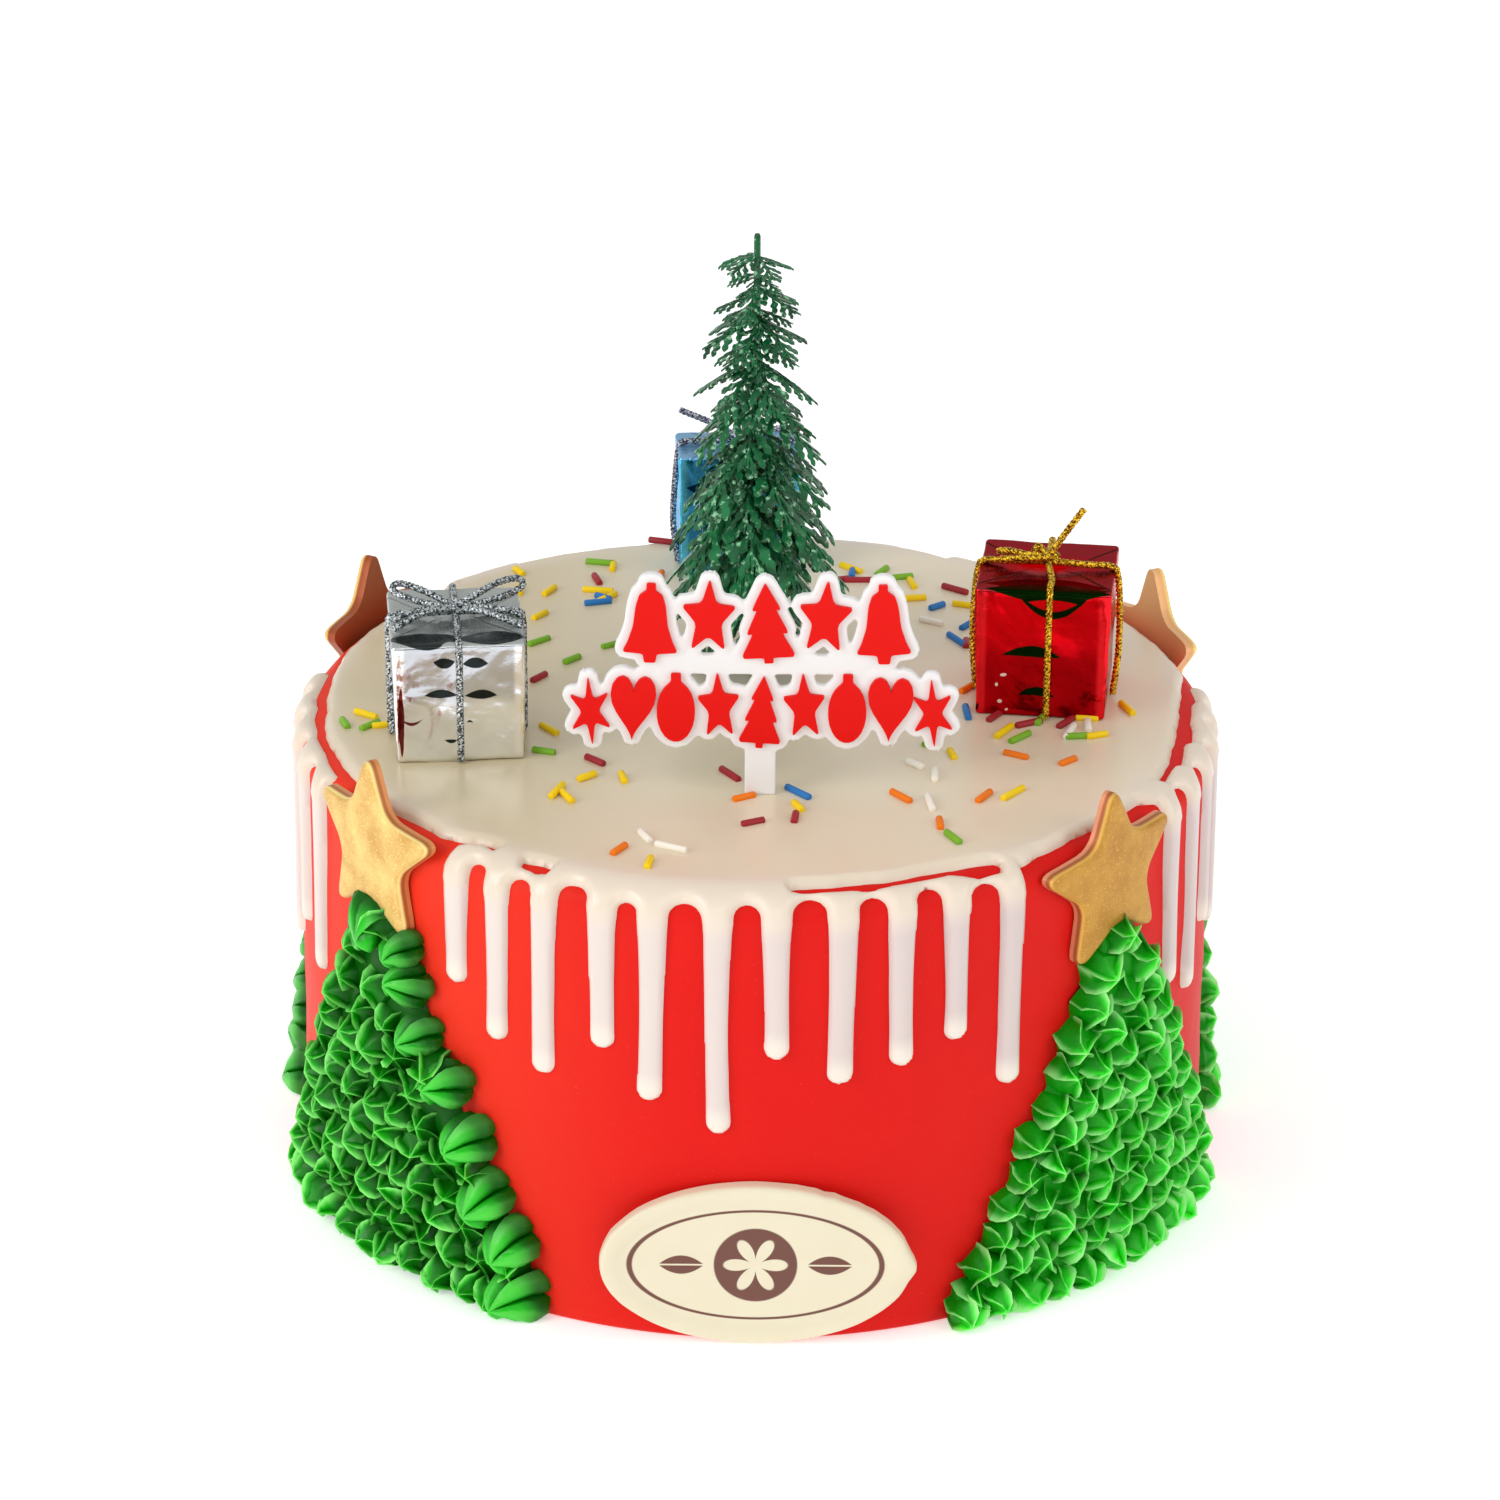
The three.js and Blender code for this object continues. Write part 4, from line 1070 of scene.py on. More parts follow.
# Fondant stars: a rounded outline, extruded, bevelled and laid round the side
def fondantFinish(star):
    finish = Finish("gold fondant " + star["name"], roughness=0.4, metallic=0.25, specular=0.36)
    up = finish.hypot(finish.axis("X"), finish.axis("Y")) - stars["inner"]  # height over the star's back
    face = stars["thick"]
    front = finish.step(up, face - 1.6, face - 0.9)
    # Painted highlight: the bevel just below the front face, and fine specks, take the glint colour
    rim = front * finish.step(up, face - 0.35, face - 0.7)
    patches = finish.step(finish.grain(9, 3, 0.6), 0.25, 0.75)
    dust = finish.grain(0.45, 2, 0.6)
    low, high = star["golds"]
    gold = finish.blend(patches, paint(*low), paint(*high))
    glint = paint(*[min(value + 24, 252) for value in high])
    bright = finish.blend(finish.largest(finish.step(dust, 0.55, 0.75), rim * 0.8), gold, glint)
    # Painted light and shade: the sides are lighter near the cake and darker just below the front face
    side = finish.blend(finish.step(up, face * 0.22, face * 0.4), *[paint(*colour) for colour in star["sides"]])
    finish.feed("Base Color", finish.blend(front, side, bright))
    finish.feed("Roughness", 0.34 + dust * 0.2)
    finish.feed("Normal", finish.bump(finish.grain(3.5, 2, 0.5) * 0.7 + dust * 0.3, 0.4, 0.4))
    return finish.material


def makeStar(star):
    clearSelection()
    bpy.ops.mesh.primitive_circle_add(vertices=10, radius=stars["radius"], fill_type="NGON")
    body = bpy.context.active_object
    for i, vertex in enumerate(body.data.vertices):
        turn = math.pi / 2 + i * math.pi / 5
        away = stars["radius"] * (stars["waist"] if i % 2 else 1)
        vertex.co = (away * math.cos(turn), away * math.sin(turn), 0)
    startEdit(body)
    pick("VERT", lambda place: place.length > stars["radius"] * 0.8)
    bpy.ops.mesh.bevel(offset=stars["tipRound"], segments=6, affect="VERTICES")
    pick("VERT", lambda place: place.length < stars["radius"] * 0.6)
    bpy.ops.mesh.bevel(offset=stars["waistRound"], segments=4, affect="VERTICES")
    faceOutwards()
    bpy.ops.mesh.extrude_region_move(TRANSFORM_OT_translate={"value": (0, 0, stars["thick"])})
    faceOutwards()
    pick("EDGE", lambda a, b: a.z > stars["thick"] - 0.01 and b.z > stars["thick"] - 0.01)
    bpy.ops.mesh.bevel(offset=stars["bevel"], segments=4, affect="EDGES")
    # Cut across both ways, so that it can bend round the side
    for i in range(-stars["cuts"], stars["cuts"]):
        selectAll()
        bpy.ops.mesh.bisect(plane_co=((i + 0.53) * stars["cut"], 0, 0), plane_no=(1, 0, 0))
        selectAll()
        bpy.ops.mesh.bisect(plane_co=(0, (i + 0.61) * stars["cut"], 0), plane_no=(0, 1, 0))
    selectAll()
    sortByPlace()
    bpy.ops.mesh.remove_doubles(threshold=0.14)
    sortByPlace()
    bpy.ops.mesh.dissolve_degenerate(threshold=0.03)
    endEdit()
    turn = Matrix.Rotation(math.radians(star["tilt"]), 4, "Z")

    def layRound(place):
        spot = turn @ place
        radius = stars["inner"] + spot.z
        azimuth = math.radians(star["azimuth"]) + math.asin(spot.x / radius)
        height = stars["middle"] + star["lift"] + spot.y
        return Vector((radius * math.sin(azimuth), -radius * math.cos(azimuth), height))

    reshape(body, layRound)
    finishPiece(body, star["name"] + "_fondant", fondantFinish(star), [star["name"]], smooth=35)


for star in stars["places"]:
    makeStar(star)

# The sign: raised red shapes in two rows on one white backing, on a flat stake
standing = glazeTop + gap
sunk = 0.3  # how deep the fir and the boxes sit in the glaze
sign = {"place": (1.1, -54.9), "thick": 2.2, "relief": 0.9, "margin": 2.0, "stake": (6.8, 14), "stakeSunk": 0.2,
        "bar": {"across": 0.6, "height": 30.7, "width": 46, "tall": 4.4}, "sunk": 0.4, "voxel": 0.42,
        "rows": [
            {"height": 41.2, "left": -24, "right": 26.5, "size": (6.3, 9.2),
             "names": ["bell", "star", "fir", "star", "bell"]},
            {"height": 20.3, "left": -37.2, "right": 37.6, "size": (5, 8.4),
             "names": ["flake", "heart", "bauble", "star", "fir", "star", "bauble", "heart", "flake"]},
        ]}


def polar(radius, turn):
    return radius * math.cos(turn), radius * math.sin(turn)


def mirrored(side, middle=()):  # an outline from its right half, counted anticlockwise
    return [*side, *middle, *[(-x, y) for x, y in reversed(side)]]


def heartPoint(turn):
    y = 13 * math.cos(turn) - 5 * math.cos(2 * turn) - 2 * math.cos(3 * turn) - math.cos(4 * turn)
    return -math.sin(turn) ** 3, y / 16 + 0.1


def motifOutline(name):
    quarter = math.pi / 2
    if name == "star":
        return [polar(0.45 if i % 2 else 1, quarter + i * math.pi / 5) for i in range(10)]
    if name == "flake":
        return [polar(0.36 if i % 2 else 1, quarter + i * math.pi / 6) for i in range(12)]
    if name == "bauble":
        ball = [polar(0.84, -quarter + (i + 0.5) * math.pi / 12 * 0.98) for i in range(11)]
        return mirrored([*ball, (0.22, 0.84), (0.22, 1.08)])
    if name == "heart":
        return [heartPoint(i * math.pi / 14) for i in range(28)]
    if name == "bell":
        return mirrored([(0.2, -1), (0.24, -0.78), (0.95, -0.74), (0.78, -0.5), (0.6, -0.1), (0.52, 0.42), (0.4, 0.7),
                         (0.16, 0.82), (0.16, 1)])
    return mirrored([(0.16, -1), (0.16, -0.86), (0.95, -0.86), (0.5, -0.25), (0.72, -0.25), (0.32, 0.35), (0.5, 0.35),
                     (0.02, 1)])


def makeMotif(name, size, depth):
    outline = [(x * size[0], y * size[1]) for x, y in motifOutline(name)]
    return outlinePlate(roundCorners(outline, 0.12), depth)


def signFinish(name, colour):
    finish = Finish(name, colour=paint(*colour), roughness=0.42, specular=0.14)
    finish.grainy(9, 2, 0.5, 0.15, 0.4)
    return finish.material


def upright(x, y, z):  # stands a flat piece up, facing the front
    return Matrix.Translation((x, y, z)) @ Matrix.Rotation(math.pi / 2, 4, "X")


def makeSign():
    thick = sign["thick"]
    stand = upright(sign["place"][0], sign["place"][1] + thick / 2, standing)
    backing, raised = [], []
    flats, reliefs = {}, {}
    for row in sign["rows"]:
        for i, name in enumerate(row["names"]):
            key = (name, row["size"])
            if key not in flats:
                flats[key] = makeMotif(*key, thick)
                reliefs[key] = makeMotif(*key, sign["relief"] + sign["sunk"])
            x = row["left"] + (row["right"] - row["left"]) * i / (len(row["names"]) - 1)
            height = row["height"] + (0.7 if i % 2 else -0.5)
            lean = math.radians(3.5 * math.sin(i * 2.4 + row["height"]))
            spot = Matrix.Translation((x, height, 0)) @ Matrix.Rotation(lean, 4, "Z")
            for k in range(13):
                shift = Matrix.Translation((*polar(sign["margin"] if k else 0, k * math.pi / 6), 0))
                backing.append(twin(flats[key], shift @ spot))
            raised.append(twin(reliefs[key], Matrix.Translation((0, 0, thick - sign["sunk"])) @ spot))
    discard(*flats.values(), *reliefs.values())
    width, height = sign["stake"]
    bar = sign["bar"]
    for x, y, wide, tall in ((0, height / 2 - sign["stakeSunk"], width, height + 2 * sign["stakeSunk"]),
                             (bar["across"], bar["height"], bar["width"], bar["tall"])):
        clearSelection()
        bpy.ops.mesh.primitive_cube_add(size=1, location=(x, y, thick / 2), scale=(wide, tall, thick))
        backing.append(bpy.context.active_object)
    plate = weld("backing", backing)
    modify(plate, "REMESH", mode="VOXEL", voxel_size=sign["voxel"])
    modify(plate, "SMOOTH", factor=0.6, iterations=3)
    plate.data.transform(stand)
    finishPiece(plate, "sign_backing", signFinish("white plastic", (234, 233, 232)), ["topper_sign"],
                smooth=60)
    shapes = weld("shapes", raised)
    shapes.data.transform(stand)
    finishPiece(shapes, "sign_shapes", signFinish("red plastic", (224, 12, 5)), smooth=22)


makeSign()

# The moulded fir: tiers of flat drooping fronds, each a rib with toothed leaflets on both sides
# A tier has the height of its tips' ring, its reach and its count of fronds, and a leaflet its place, size and turn
fir = {"place": (-0.4, 15), "height": 106, "trunk": 1.7, "steepTop": 0.36, "steepStep": 0.09, "between": 4.0,
       "frondThick": 0.05, "leaflets": [(0.22, 0.34, 56), (0.43, 0.39, 49), (0.64, 0.34, 42), (0.83, 0.25, 32)],
       "tiers": [(97.5, 9, 5), (88, 10.5, 5), (79.5, 13, 6), (66.5, 14.5, 6), (54.5, 16.5, 6), (42.5, 18.5, 7),
                 (31.5, 21, 7), (21, 21.5, 7), (11, 20, 6)]}


def makeFrond():  # of unit length along x. A leaflet is narrow with blunt teeth
    leaflet = [(0, -0.06), (0.4, -0.08), (0.54, -0.2), (0.7, -0.09), (0.86, -0.15), (1, -0.04), (1, 0.06), (0.84, 0.16),
               (0.7, 0.08), (0.5, 0.22), (0.34, 0.08), (0, 0.06)]
    rib = [(0, -0.045), (0.55, -0.034), (1, -0.014), (1, 0.014), (0.55, 0.034), (0, 0.045)]
    parts = [outlinePlate(rib, fir["frondThick"])]
    plate = outlinePlate(leaflet, fir["frondThick"] * 0.8)
    for along, size, turn in fir["leaflets"]:
        for side in (-1, 1):
            place = (Matrix.Translation((along + side * 0.03, 0, 0))
                     @ Matrix.Rotation(side * math.radians(turn), 4, "Z")
                     @ Matrix.Rotation(side * -0.25, 4, "X") @ Matrix.Diagonal((size, size * 1.1, 1, 1)))
            parts.append(twin(plate, place))
    discard(plate)
    return weld("frond", parts)


def firFinish():
    finish = Finish("fir plastic", roughness=0.34, specular=0.3, coat=0.3, coatRoughness=0.12)
    patches = finish.grain(6, 3, 0.6)
    fine = finish.grain(1.7, 2, 0.6)
    base = finish.blend(finish.step(patches, 0.3, 0.7), paint(0, 64, 30), paint(24, 124, 70))
    # Painted shade: the fir is darker towards the top
    base = finish.blend(finish.step(finish.axis("Z"), 145, 190) * 0.4, base, paint(0, 62, 32))
    # Painted highlight: pale green specks on the fronds
    finish.feed("Base Color", finish.blend(finish.step(fine, 0.56, 0.7) * 0.75, base, paint(166, 226, 180)))
    finish.grainy(1.6, 2, 0.5, 0.5, 0.35)
    return finish.material


def makeFir():
    frond = makeFrond()
    draw = series(31)
    rings = [(1, 0), (0.8, 40), (0.62, 80), (0.5, 94), (0.46, fir["height"] - 0.6), (0.3, fir["height"])]
    pieces = [ringStack(10, [(fir["trunk"] * share, height) for share, height in rings], closeTop=False)]
    for level, (tip, reach, fronds) in enumerate(fir["tiers"]):
        steep = fir["steepTop"] + fir["steepStep"] * level
        for ring in range(2):
            for i in range(fronds):
                turn = math.radians(level * 37 + ring * 180 / fronds)
                turn += 2 * math.pi * (i + between(draw, -0.12, 0.12)) / fronds
                long = reach * between(draw, 0.9, 1.06) * (0.8 if ring else 1)
                sink = long * steep * between(draw, 0.85, 1.15)
                end = tip - (fir["between"] if ring else 0) + between(draw, -0.8, 0.8)
                copy = twin(frond, Matrix.Identity(4))
                roll = between(draw, -0.35, 0.35)

                def droop(place):
                    share, side = place.x, place.y * long
                    rise = place.z * long * 0.9 + 0.1
                    out = long * (share - 0.06 * share * share)
                    fall = sink * (1 - 0.8 * share - 0.2 * share * share)
                    height = end + rise + side * math.sin(roll) - abs(side) * 0.3 + fall
                    return Vector((out, side * math.cos(roll), height))

                reshape(copy, droop)
                copy.data.transform(Matrix.Rotation(turn, 4, "Z"))
                pieces.append(copy)
    discard(frond)
    whole = weld("fir", pieces)
    whole.data.transform(Matrix.Translation((*fir["place"], standing)))
    reshape(whole, lambda place: Vector((place.x, place.y, max(place.z, standing - sunk))))
    finishPiece(whole, "fir_moulded", firFinish(), ["fir_tree"], smooth=30)


makeFir()

# Gift boxes of creased foil. What they mirror is painted on the front and the top as lenses. A lens has its middle
# across, its middle down from the front's upper edge, half its width, half its height and how far its ends bend down
# Each box's upper, lower, top and edge colours, its coloured reflections and its white spots are painted reflection,
# shade and highlight; fold sets how dark the painted shade in the creases is
gifts = {
    "silver": {"place": (-67.4, -23), "size": (28.5, 32.5, 28.5), "turn": 6, "seed": 3, "flare": 0.045,
               "colour": (214, 217, 223), "lowColour": (252, 255, 255), "topColour": (178, 184, 180),
               "edgeColour": (240, 240, 240), "darkColour": (40, 46, 46), "fold": 0.3, "topMetal": 0.6,
               "tint": (0.7, 0.7, 0.7, 1),
               "lenses": [(-7, -2.2, 9, 4.4, -1.5), (7.5, -3, 8, 4.0, 0.5), (-3.4, 5.1, 2.6, 1.3, -0.4),
                          (3.6, 5.1, 3.0, 1.4, 0.3), (-4.2, 12.2, 3.8, 1.2, 0.5), (4.8, 12.6, 3.9, 1.2, 0.4),
                          (-2.2, 23.8, 1.5, 0.6, -0.4), (2.2, 19.2, 0.9, 0.4, 0.4)],
               "gleams": [(-1.8, 1.2, 2.2, 2.4, 0)], "highlightSpots": [],
               "colouredReflections": [((112, 46, 42), -13.1, 19, 0.8, 8.4, 0), ((112, 46, 42), -10.8, 19.4, 2.9, 0.55, -1.8),
                         ((176, 164, 152), -6.6, 7.8, 6.2, 0.22, 3), ((176, 164, 152), -4.4, 15, 4.4, 0.2, 2.2),
                         ((176, 160, 150), 5.4, 1.8, 4.4, 0.2, 2.6), ((180, 60, 60), 9.6, 11, 1.8, 0.14, 0.3)]},
    "red": {"place": (66.7, 2.8), "size": (29.6, 30, 31.3), "turn": -7, "seed": 8, "flare": 0.05,
            "colour": (232, 9, 22), "lowColour": (194, 6, 18), "topColour": (156, 50, 56),
            "edgeColour": (240, 34, 44), "darkColour": (8, 30, 4), "fold": 0.8, "topMetal": 1,
            "tint": (0.7, 0.45, 0.45, 1),
            "lenses": [(1.0, 0.3, 14.6, 3.5, 0.2), (2.2, 3.2, 10.4, 4.2, -4.6), (2.4, 1.0, 13, 3.4, -2.4),
                       (-2.2, 15.4, 7, 1.5, 1.6), (-0.8, 25, 4.4, 1.3, 1.6)],
            "gleams": [(2.2, 4.2, 5.8, 1.4, -0.6)],
            "highlightSpots": [(-8.5, 21.6, 0.8, 0.45, 0.4), (-10, 24, 0.4, 0.5, 0), (-9.2, 28, 0.6, 0.5, 0),
                       (-7.6, 30, 0.4, 0.35, 0.3)],
            "colouredReflections": [((96, 6, 8), 0.6, -3.4, 14.6, 3.4, 1.0)]},
    "blue": {"place": (-4.9, 83), "size": (29.2, 18, 31), "turn": 4, "seed": 12, "flare": 0.02,
             "colour": (70, 178, 255), "lowColour": (66, 172, 250), "topColour": (128, 178, 212),
             "edgeColour": (96, 204, 255), "darkColour": (14, 56, 118), "fold": 0.4, "topMetal": 0.6,
             "tint": (0.6, 0.65, 0.7, 1),
             "lenses": [(-5, 8.6, 8.2, 2.6, -0.5), (-9, 17, 4, 1.0, -0.6)],
             "gleams": [], "highlightSpots": [(-8, 9.6, 0.9, 2.0, -0.5)], "colouredReflections": []},
}


def foilFinish(name, gift):
    finish = Finish("foil " + name, roughness=0.14, metallic=1.0, tint=gift["tint"])
    width, depth, tall = gift["size"]
    turn = -math.radians(gift["turn"])
    shift = Matrix.Rotation(turn, 3, "Z") @ Vector((*gift["place"], standing))
    sockets = {"Vector": finish.place, "Rotation": (0, 0, turn), "Location": tuple(-shift)}
    own = finish.node("ShaderNodeMapping", sockets=sockets)
    across, deep, height = (finish.axis(letter, own) for letter in "XYZ")
    fromEdge = (tall - height) - (deep + depth / 2)  # down the front, negative on the top
    onTop = finish.step(height, tall - 1.3, tall - 0.5)
    onFront = finish.step(deep, 1.6 - depth / 2, 0.8 - depth / 2)
    shown = finish.largest(onTop, onFront)
    soft = finish.grain(11, 2, 0.5, distortion=0.8)
    patches = finish.grain(14, 2, 0.5)
    waver = finish.grain(5, 2, 0.5) - 0.5

    def lens(shape, sideWaver=0.0, downWaver=0.0, softness=0.3):
        x, down, wide, high, bend = shape
        share = (across - x + waver * sideWaver) / wide
        middle = fromEdge - down - share * share * bend + waver * downWaver
        reach = finish.largest(1 - share * share, 0.0) * high
        return finish.step(reach - abs(middle), 0.0, softness)

    # Painted reflection and shade: the upper and lower parts of the box take different tones, for what they mirror and
    # how the light falls
    upper, lower = (finish.blend(patches, paint(*colour), paint(*[c * 0.82 for c in colour]))
                    for colour in (gift["colour"], gift["lowColour"]))
    base = finish.blend(finish.step(height + soft * 9, tall * 0.78, tall * 0.58), upper, lower)
    # Painted reflection: the top takes its own darker tone
    base = finish.blend(onTop, base, paint(*gift["topColour"]))
    # Painted highlight: lighter near the left and right edges
    edges = finish.step(abs(across), width / 2 - 2.6, width / 2 - 1.4)
    base = finish.blend(edges * (1 - onTop), base, paint(*gift["edgeColour"]))
    # Painted reflections in colour: streaks and bands of what stands near the box
    for colour, *shape in gift["colouredReflections"]:
        base = finish.blend(lens(shape, 0.5, 0.4) * shown, base, paint(*colour))
    # Folded ends meet in two triangles on the top; their fold lines are painted dark, as shade in the creases
    foldLine = finish.step(abs(abs(across) - abs(deep) * 0.9 - 3.5), 0.7, 0.2) * onTop
    dark = foldLine * gift["fold"]
    for shape in gift["lenses"]:
        dark = finish.largest(dark, lens(shape, 0.8, 0.5, 0.25) * shown)
    for shape in gift["gleams"]:
        dark = dark * (1 - lens(shape))
    base = finish.blend(dark, base, paint(*gift["darkColour"]))
    # Painted highlight spots: small white glints on the front
    for x, down, wide, high, lean in gift["highlightSpots"]:
        right, under = across - x, fromEdge - down
        away = (right + under * lean) * (right + under * lean) / (wide * wide) + under * under / (high * high)
        base = finish.blend(finish.step(away, 1.0, 0.6) * onFront, base, paint(252, 226, 226))
    finish.feed("Base Color", base)
    if gift["topMetal"] < 1:
        finish.feed("Metallic", 1 - onTop * (1 - gift["topMetal"]))
    finish.feed("Roughness", 0.1 + finish.grain(2.2, 2, 0.5) * 0.14 + onTop * 0.1)
    creases = finish.cells(9, "SMOOTH_F1")
    wrinkles = finish.bump(soft * 0.8 + creases * 0.4 - foldLine * 0.25, 0.55, 1.6)
    finish.grainy(1.8, 3, 0.6, 0.18, 0.3, wrinkles)
    return finish.material


def giftStand(gift, low):
    return Matrix.Translation((*gift["place"], low)) @ Matrix.Rotation(math.radians(gift["turn"]), 4, "Z")


def makeGift(gift, name):
    clearSelection()
    width, depth, height = gift["size"]
    cuts, rounding = 14, 0.9
    bpy.ops.mesh.primitive_cube_add(size=1, location=(0, 0, height / 2), scale=gift["size"])
    bpy.ops.object.transform_apply(location=True, scale=True)
    box = bpy.context.active_object
    startEdit(box)
    selectAll()
    bpy.ops.mesh.bevel(offset=rounding, segments=3, affect="EDGES")
    for axis, start in enumerate((-width / 2, -depth / 2, 0)):
        normal = Vector([float(axis == k) for k in range(3)])
        for i in range(1, cuts):
            selectAll()
            bpy.ops.mesh.bisect(plane_co=normal * (start + gift["size"][axis] * i / cuts), plane_no=normal)
    endEdit()
    seed = Vector((gift["seed"] * 7.3, gift["seed"] * 3.1, 0))

    def crease(place):
        share = Vector((2 * place.x / width, 2 * place.y / depth, 2 * place.z / height - 1))
        # Faces sag a little between the edges, and the foil buckles
        outer = max(abs(share.x), abs(share.y), abs(share.z))
        buckle = noise.noise(place / 9 + seed) * 0.55 + noise.noise(place / 4 + seed) * 0.2
        move = Vector((0, 0, 0))
        for axis in range(3):
            if abs(share[axis]) > 0.97:
                others = [abs(share[k]) for k in range(3) if k != axis]
                sag = (1 - others[0] ** 2) * (1 - others[1] ** 2)
                move[axis] = math.copysign(1, share[axis]) * (buckle * (0.4 + sag) - 0.45 * sag)
        if place.z < 0.05:
            move.z = 0
        wider = 1 + gift["flare"] * place.z / height
        moved = place + move * min(1, outer)
        return Vector((moved.x * wider, moved.y * wider, moved.z))

    reshape(box, crease)
    box.data.transform(giftStand(gift, standing - sunk))
    finishPiece(box, "gift_box_" + name, foilFinish(name, gift), ["gift_" + name], smooth=50)


for giftName, gift in gifts.items():
    makeGift(gift, giftName)


# Cords: three strands wound round a line
cords = {"radius": 0.85, "twist": 3.4, "step": 0.4, "strands": 3}


def cordFinish(name, light, dark):
    finish = Finish("cord " + name, roughness=0.32, metallic=0.85)
    sparkle = finish.cells(0.35, output="Color")
    shade = finish.node("ShaderNodeSeparateColor", sockets={"Color": sparkle}, output=0)
    finish.feed("Base Color", finish.blend(finish.step(shade, 0.25, 0.85), paint(*dark), paint(*light)))
    finish.feed("Roughness", 0.2 + shade * 0.3)
    finish.grainy(0.3, 2, 0.6, 0.6, 0.15)
    return finish.material


def woundCord(lines, radius):
    curve = bpy.data.curves.new("cord", "CURVE")
    curve.dimensions = "3D"
    curve.bevel_depth = radius * 0.52
    curve.bevel_resolution = 1
    curve.use_fill_caps = True
    for points in lines:
        line = curveThrough(points, cords["step"])
        side = Vector((0, 0, 1))
        frames = []
        for i, point in enumerate(line):
            ahead = (line[min(i + 1, len(line) - 1)] - line[max(i - 1, 0)]).normalized()
            if i == 0 and abs(ahead.z) > 0.9:
                side = Vector((1, 0, 0))
            side = (side - ahead * side.dot(ahead)).normalized()
            frames.append((point, side.copy(), ahead.cross(side)))
        for strandAt in range(cords["strands"]):
            spline = curve.splines.new("POLY")
            spline.points.add(len(line) - 1)
            travelled = 0
            for i, (point, first, second) in enumerate(frames):
                if i:
                    travelled += (point - frames[i - 1][0]).length
                turn = 2 * math.pi * (travelled / cords["twist"] + strandAt / cords["strands"])
                spot = point + (first * math.cos(turn) + second * math.sin(turn)) * radius * 0.5
                spline.points[i].co = (*spot, 1)
    made = bpy.data.objects.new("cord", curve)
    bpy.context.scene.collection.objects.link(made)
    hold(made)
    bpy.ops.object.convert(target="MESH")
    return bpy.context.active_object


def bandLine(reach, top, bulge, narrow=1):  # up one side of the box and over to the middle of the top, then down
    half = [(1, 0.2), (1, top * 0.35), (1, top * 0.7), (1, top * 0.94), (0.93, top + 0.4), (0.6, top + 0.6)]
    line = []
    for along, height in half:
        swell = bulge * math.sin(math.pi * height / top) ** narrow if along == 1 else 0
        line.append((along * reach + swell, height))
    return [*[(-out, height) for out, height in line], (0, top + 0.9), *reversed(line)]


bows = {
    "silver": [
        [(0, 0, 1.8), (-4, 2.2, 3.6), (-9, 6, 4.6), (-12.6, 9, 4.4), (-13.6, 7.2, 3.4), (-10, 3.6, 2.8), (-5, 0.6, 2.4),
         (-0.5, -0.4, 1.8)],
        [(0, 0, 1.8), (5, 2.6, 3.8), (10, 6.2, 5), (14.6, 8.8, 4.8), (15.4, 6.6, 3.8), (11.5, 3.2, 3), (6, 0.8, 2.4),
         (0.5, -0.4, 1.8)],
        [(0, 0, 1.6), (5, -4, 2.6), (10.5, -8, 2), (14.4, -10, 0.9)],
        [(0, 0, 1.6), (-6, -4.6, 2.8), (-11, -8.2, 2.2), (-14.2, -10, 0.9)],
        [(0, 0, 1.4), (-6, -2, 2.4), (-11, -4, 2), (-14.2, -5.2, 0.9)],
        [(0, 0, 1.4), (6, -1.8, 2.4), (11.5, -3.4, 2), (14.8, -4.4, 0.9)],
    ],
    "red": [
        [(0, 0, 1.6), (2.5, 2, 5.5), (7.5, 4, 12.5)],
        [(0, 0, 1.6), (-5, -0.6, 2.6), (-9, 0.6, 2.8), (-11.8, 1.6, 2.2)],
        [(0, 0, 1.6), (-4, -2.2, 2.4), (-8, -2.6, 2.2), (-10.6, -1.6, 1.6)],
        [(0, 0, 1.6), (-2.2, 1.4, 4), (-3.2, 0.4, 3), (-1.4, -0.3, 1.8)],
    ],
    "blue": [
        [(0, 0, 1.6), (-6, 1.5, 4.6), (-14, 2, 8)],
        [(0, 0, 1.6), (6, -1, 3.4), (11, -2, 4.4)],
    ],
}
cordLooks = {
    "silver": {"node": "cord_silver", "slot": "tinsel_silver", "light": (216, 222, 224), "dark": (56, 64, 66),
               "reach": 0.3, "bulge": 0.1, "narrow": 1, "aside": 0},
    "red": {"node": "cord_gold", "slot": "tinsel_gold", "light": (255, 212, 56), "dark": (118, 66, 4),
            "reach": 0.45, "bulge": 1.1, "narrow": 1, "aside": 1.5},
    "blue": {"node": "cord_blue_gift", "slot": "tinsel_silver", "light": (200, 204, 218), "dark": (56, 60, 80),
             "reach": -0.25, "bulge": 2.2, "narrow": 5, "aside": 0},
}


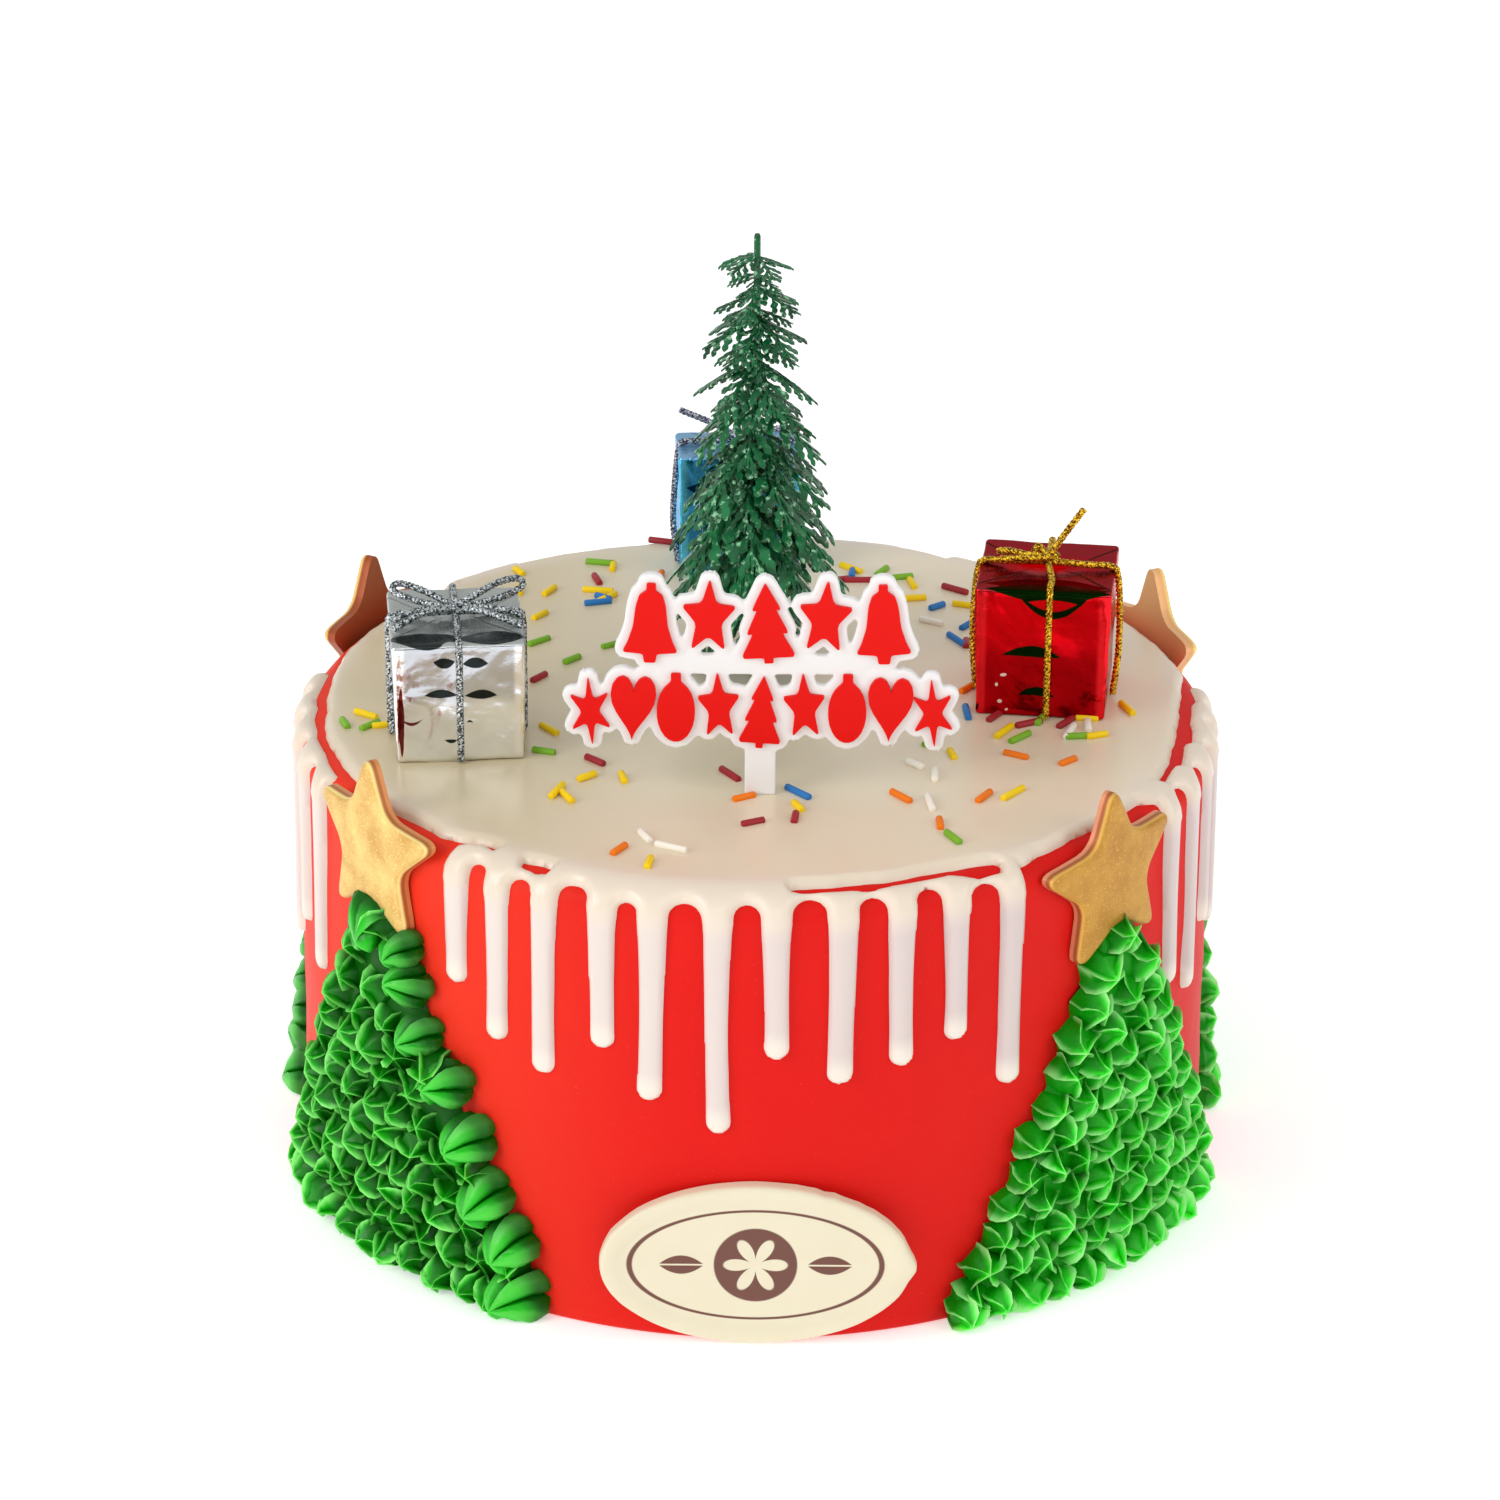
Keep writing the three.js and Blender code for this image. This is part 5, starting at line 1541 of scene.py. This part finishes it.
def makeCord(name):
    gift, look = gifts[name], cordLooks[name]
    width, depth, height = gift["size"]
    wider = 1 + gift["flare"] * 0.8
    sideways = bandLine(width / 2 * wider + look["reach"], height, look["bulge"], look["narrow"])
    forwards = bandLine(depth / 2 * wider + look["reach"], height, 0.2)
    lines = [[(x, 0, z) for x, z in sideways], [(look["aside"] * limit(-y / 8), y, z) for y, z in forwards]]
    lines += [[(x, y, height + z) for x, y, z in bow] for bow in bows[name]]
    # The knot: two short turns round the crossing
    turns = np.linspace(0, 2 * math.pi, 10)
    lines.append([(2.1 * math.cos(t), 1.5 * math.sin(t), height + 1.9 + 0.7 * math.sin(t * 2)) for t in turns])
    lines.append([(0.9 * math.sin(t), 1.9 * math.cos(t), height + 2.3 + 0.5 * math.cos(t * 2)) for t in turns])
    cord = woundCord(lines, cords["radius"])
    cord.data.transform(giftStand(gift, standing))
    finish = cordFinish(name, look["light"], look["dark"])
    finishPiece(cord, look["node"] + "_wound", finish, [look["node"]], smooth=60)


for cordName in cordLooks:
    makeCord(cordName)

# The oval plaque with its raised rim and printed design
plaque = {"width": 68.2, "height": 39.2, "thick": 3, "rim": 3.2, "dish": 0.8, "middle": 0.9, "lift": 0.6, "sides": 96,
          "edgeRound": 1.1}


def plaqueFinish():
    finish = Finish("white chocolate", roughness=0.34, specular=0.45, subsurface=0.1, subsurfaceScale=0.003,
                    subsurfaceRadius=(1.0, 0.8, 0.5))
    x = finish.axis("X") - plaque["middle"]
    z = finish.axis("Z") - (plaque["height"] / 2 + plaque["lift"])
    radius = finish.hypot(x, z)
    turn = finish.maths("ARCTAN2", x, z)
    oval = finish.maths("SQRT", (x / 27.5) ** 2 + (z / 13.4) ** 2)
    line = finish.step(abs(oval - 1), 0.03, 0.015)
    roundel = finish.step(radius, 9.3, 8.9)
    petals = abs(finish.maths("SINE", turn * 3))
    flake = finish.step(radius - (1.4 + petals * 5.6), 0.3, -0.3)
    along, tall = (abs(x) - 16.2) / 5, abs(z)
    leaves = finish.step((1 - along * along) * 2.3 - tall, -0.1, 0.1) * finish.step(tall, 0.14, 0.26)
    printed = finish.largest(finish.largest(line, leaves), roundel * (1 - flake))
    patches = finish.grain(12, 2, 0.5)
    cream = finish.blend(patches, paint(219, 210, 182), paint(227, 219, 193))
    front = finish.step(finish.axis("Y"), -107.6, -107.9)
    finish.feed("Base Color", finish.blend(printed * front, cream, paint(107, 64, 51)))
    finish.grainy(2.5, 3, 0.6, 0.25, 0.3)
    return finish.material


def makePlaque():
    clearSelection()
    bpy.ops.mesh.primitive_cylinder_add(vertices=plaque["sides"], radius=1, depth=plaque["thick"],
                                        location=(0, 0, plaque["thick"] / 2))
    bpy.ops.object.transform_apply(location=True)
    body = bpy.context.active_object
    body.data.transform(Matrix.Diagonal((plaque["width"] / 2, plaque["height"] / 2, 1, 1)))
    startEdit(body)
    pick("FACE", lambda centre, normal: normal.z > 0.9)
    bpy.ops.mesh.inset(thickness=1.2)
    bpy.ops.mesh.inset(thickness=plaque["rim"] - 2.2)
    for drop in (0.2, 0.3, 0.3, 0.2):
        bpy.ops.mesh.inset(thickness=0.8, depth=-plaque["dish"] * drop)
    bpy.ops.mesh.inset(thickness=2.0)
    pick("EDGE", lambda a, b: min(a.z, b.z) > plaque["thick"] - 0.01
         and (a.x / plaque["width"] * 2) ** 2 + (a.y / plaque["height"] * 2) ** 2 > 0.97)
    bpy.ops.mesh.bevel(offset=plaque["edgeRound"], segments=5, affect="EDGES")
    endEdit()

    def rough(place):
        turn = math.atan2(place.y, place.x)
        edge = math.hypot(place.x / plaque["width"] * 2, place.y / plaque["height"] * 2)
        ragged = math.exp(-((turn - 0.75) / 0.5) ** 2) * (edge > 0.84)
        push = 0.25 * noise.noise(Vector((place.x / 8, place.y / 8, 3))) * (edge > 0.84)
        push += ragged * 0.8 * noise.noise(Vector((place.x / 1.7, place.y / 1.7, 9)))
        nib = math.exp(-((turn + 0.02) / 0.07) ** 2) * max(0, edge - 0.9) * 10
        scale = 1 - abs(push) / 25 + nib * 0.035
        return Vector((place.x * scale, place.y * scale, place.z))

    reshape(body, rough)
    low = plaque["height"] / 2 + plaque["lift"]
    body.data.transform(upright(plaque["middle"], -(cake["footRadius"] + gap - 0.5), low))
    finishPiece(body, "plaque_oval", plaqueFinish(), ["plaque"], smooth=40)


makePlaque()
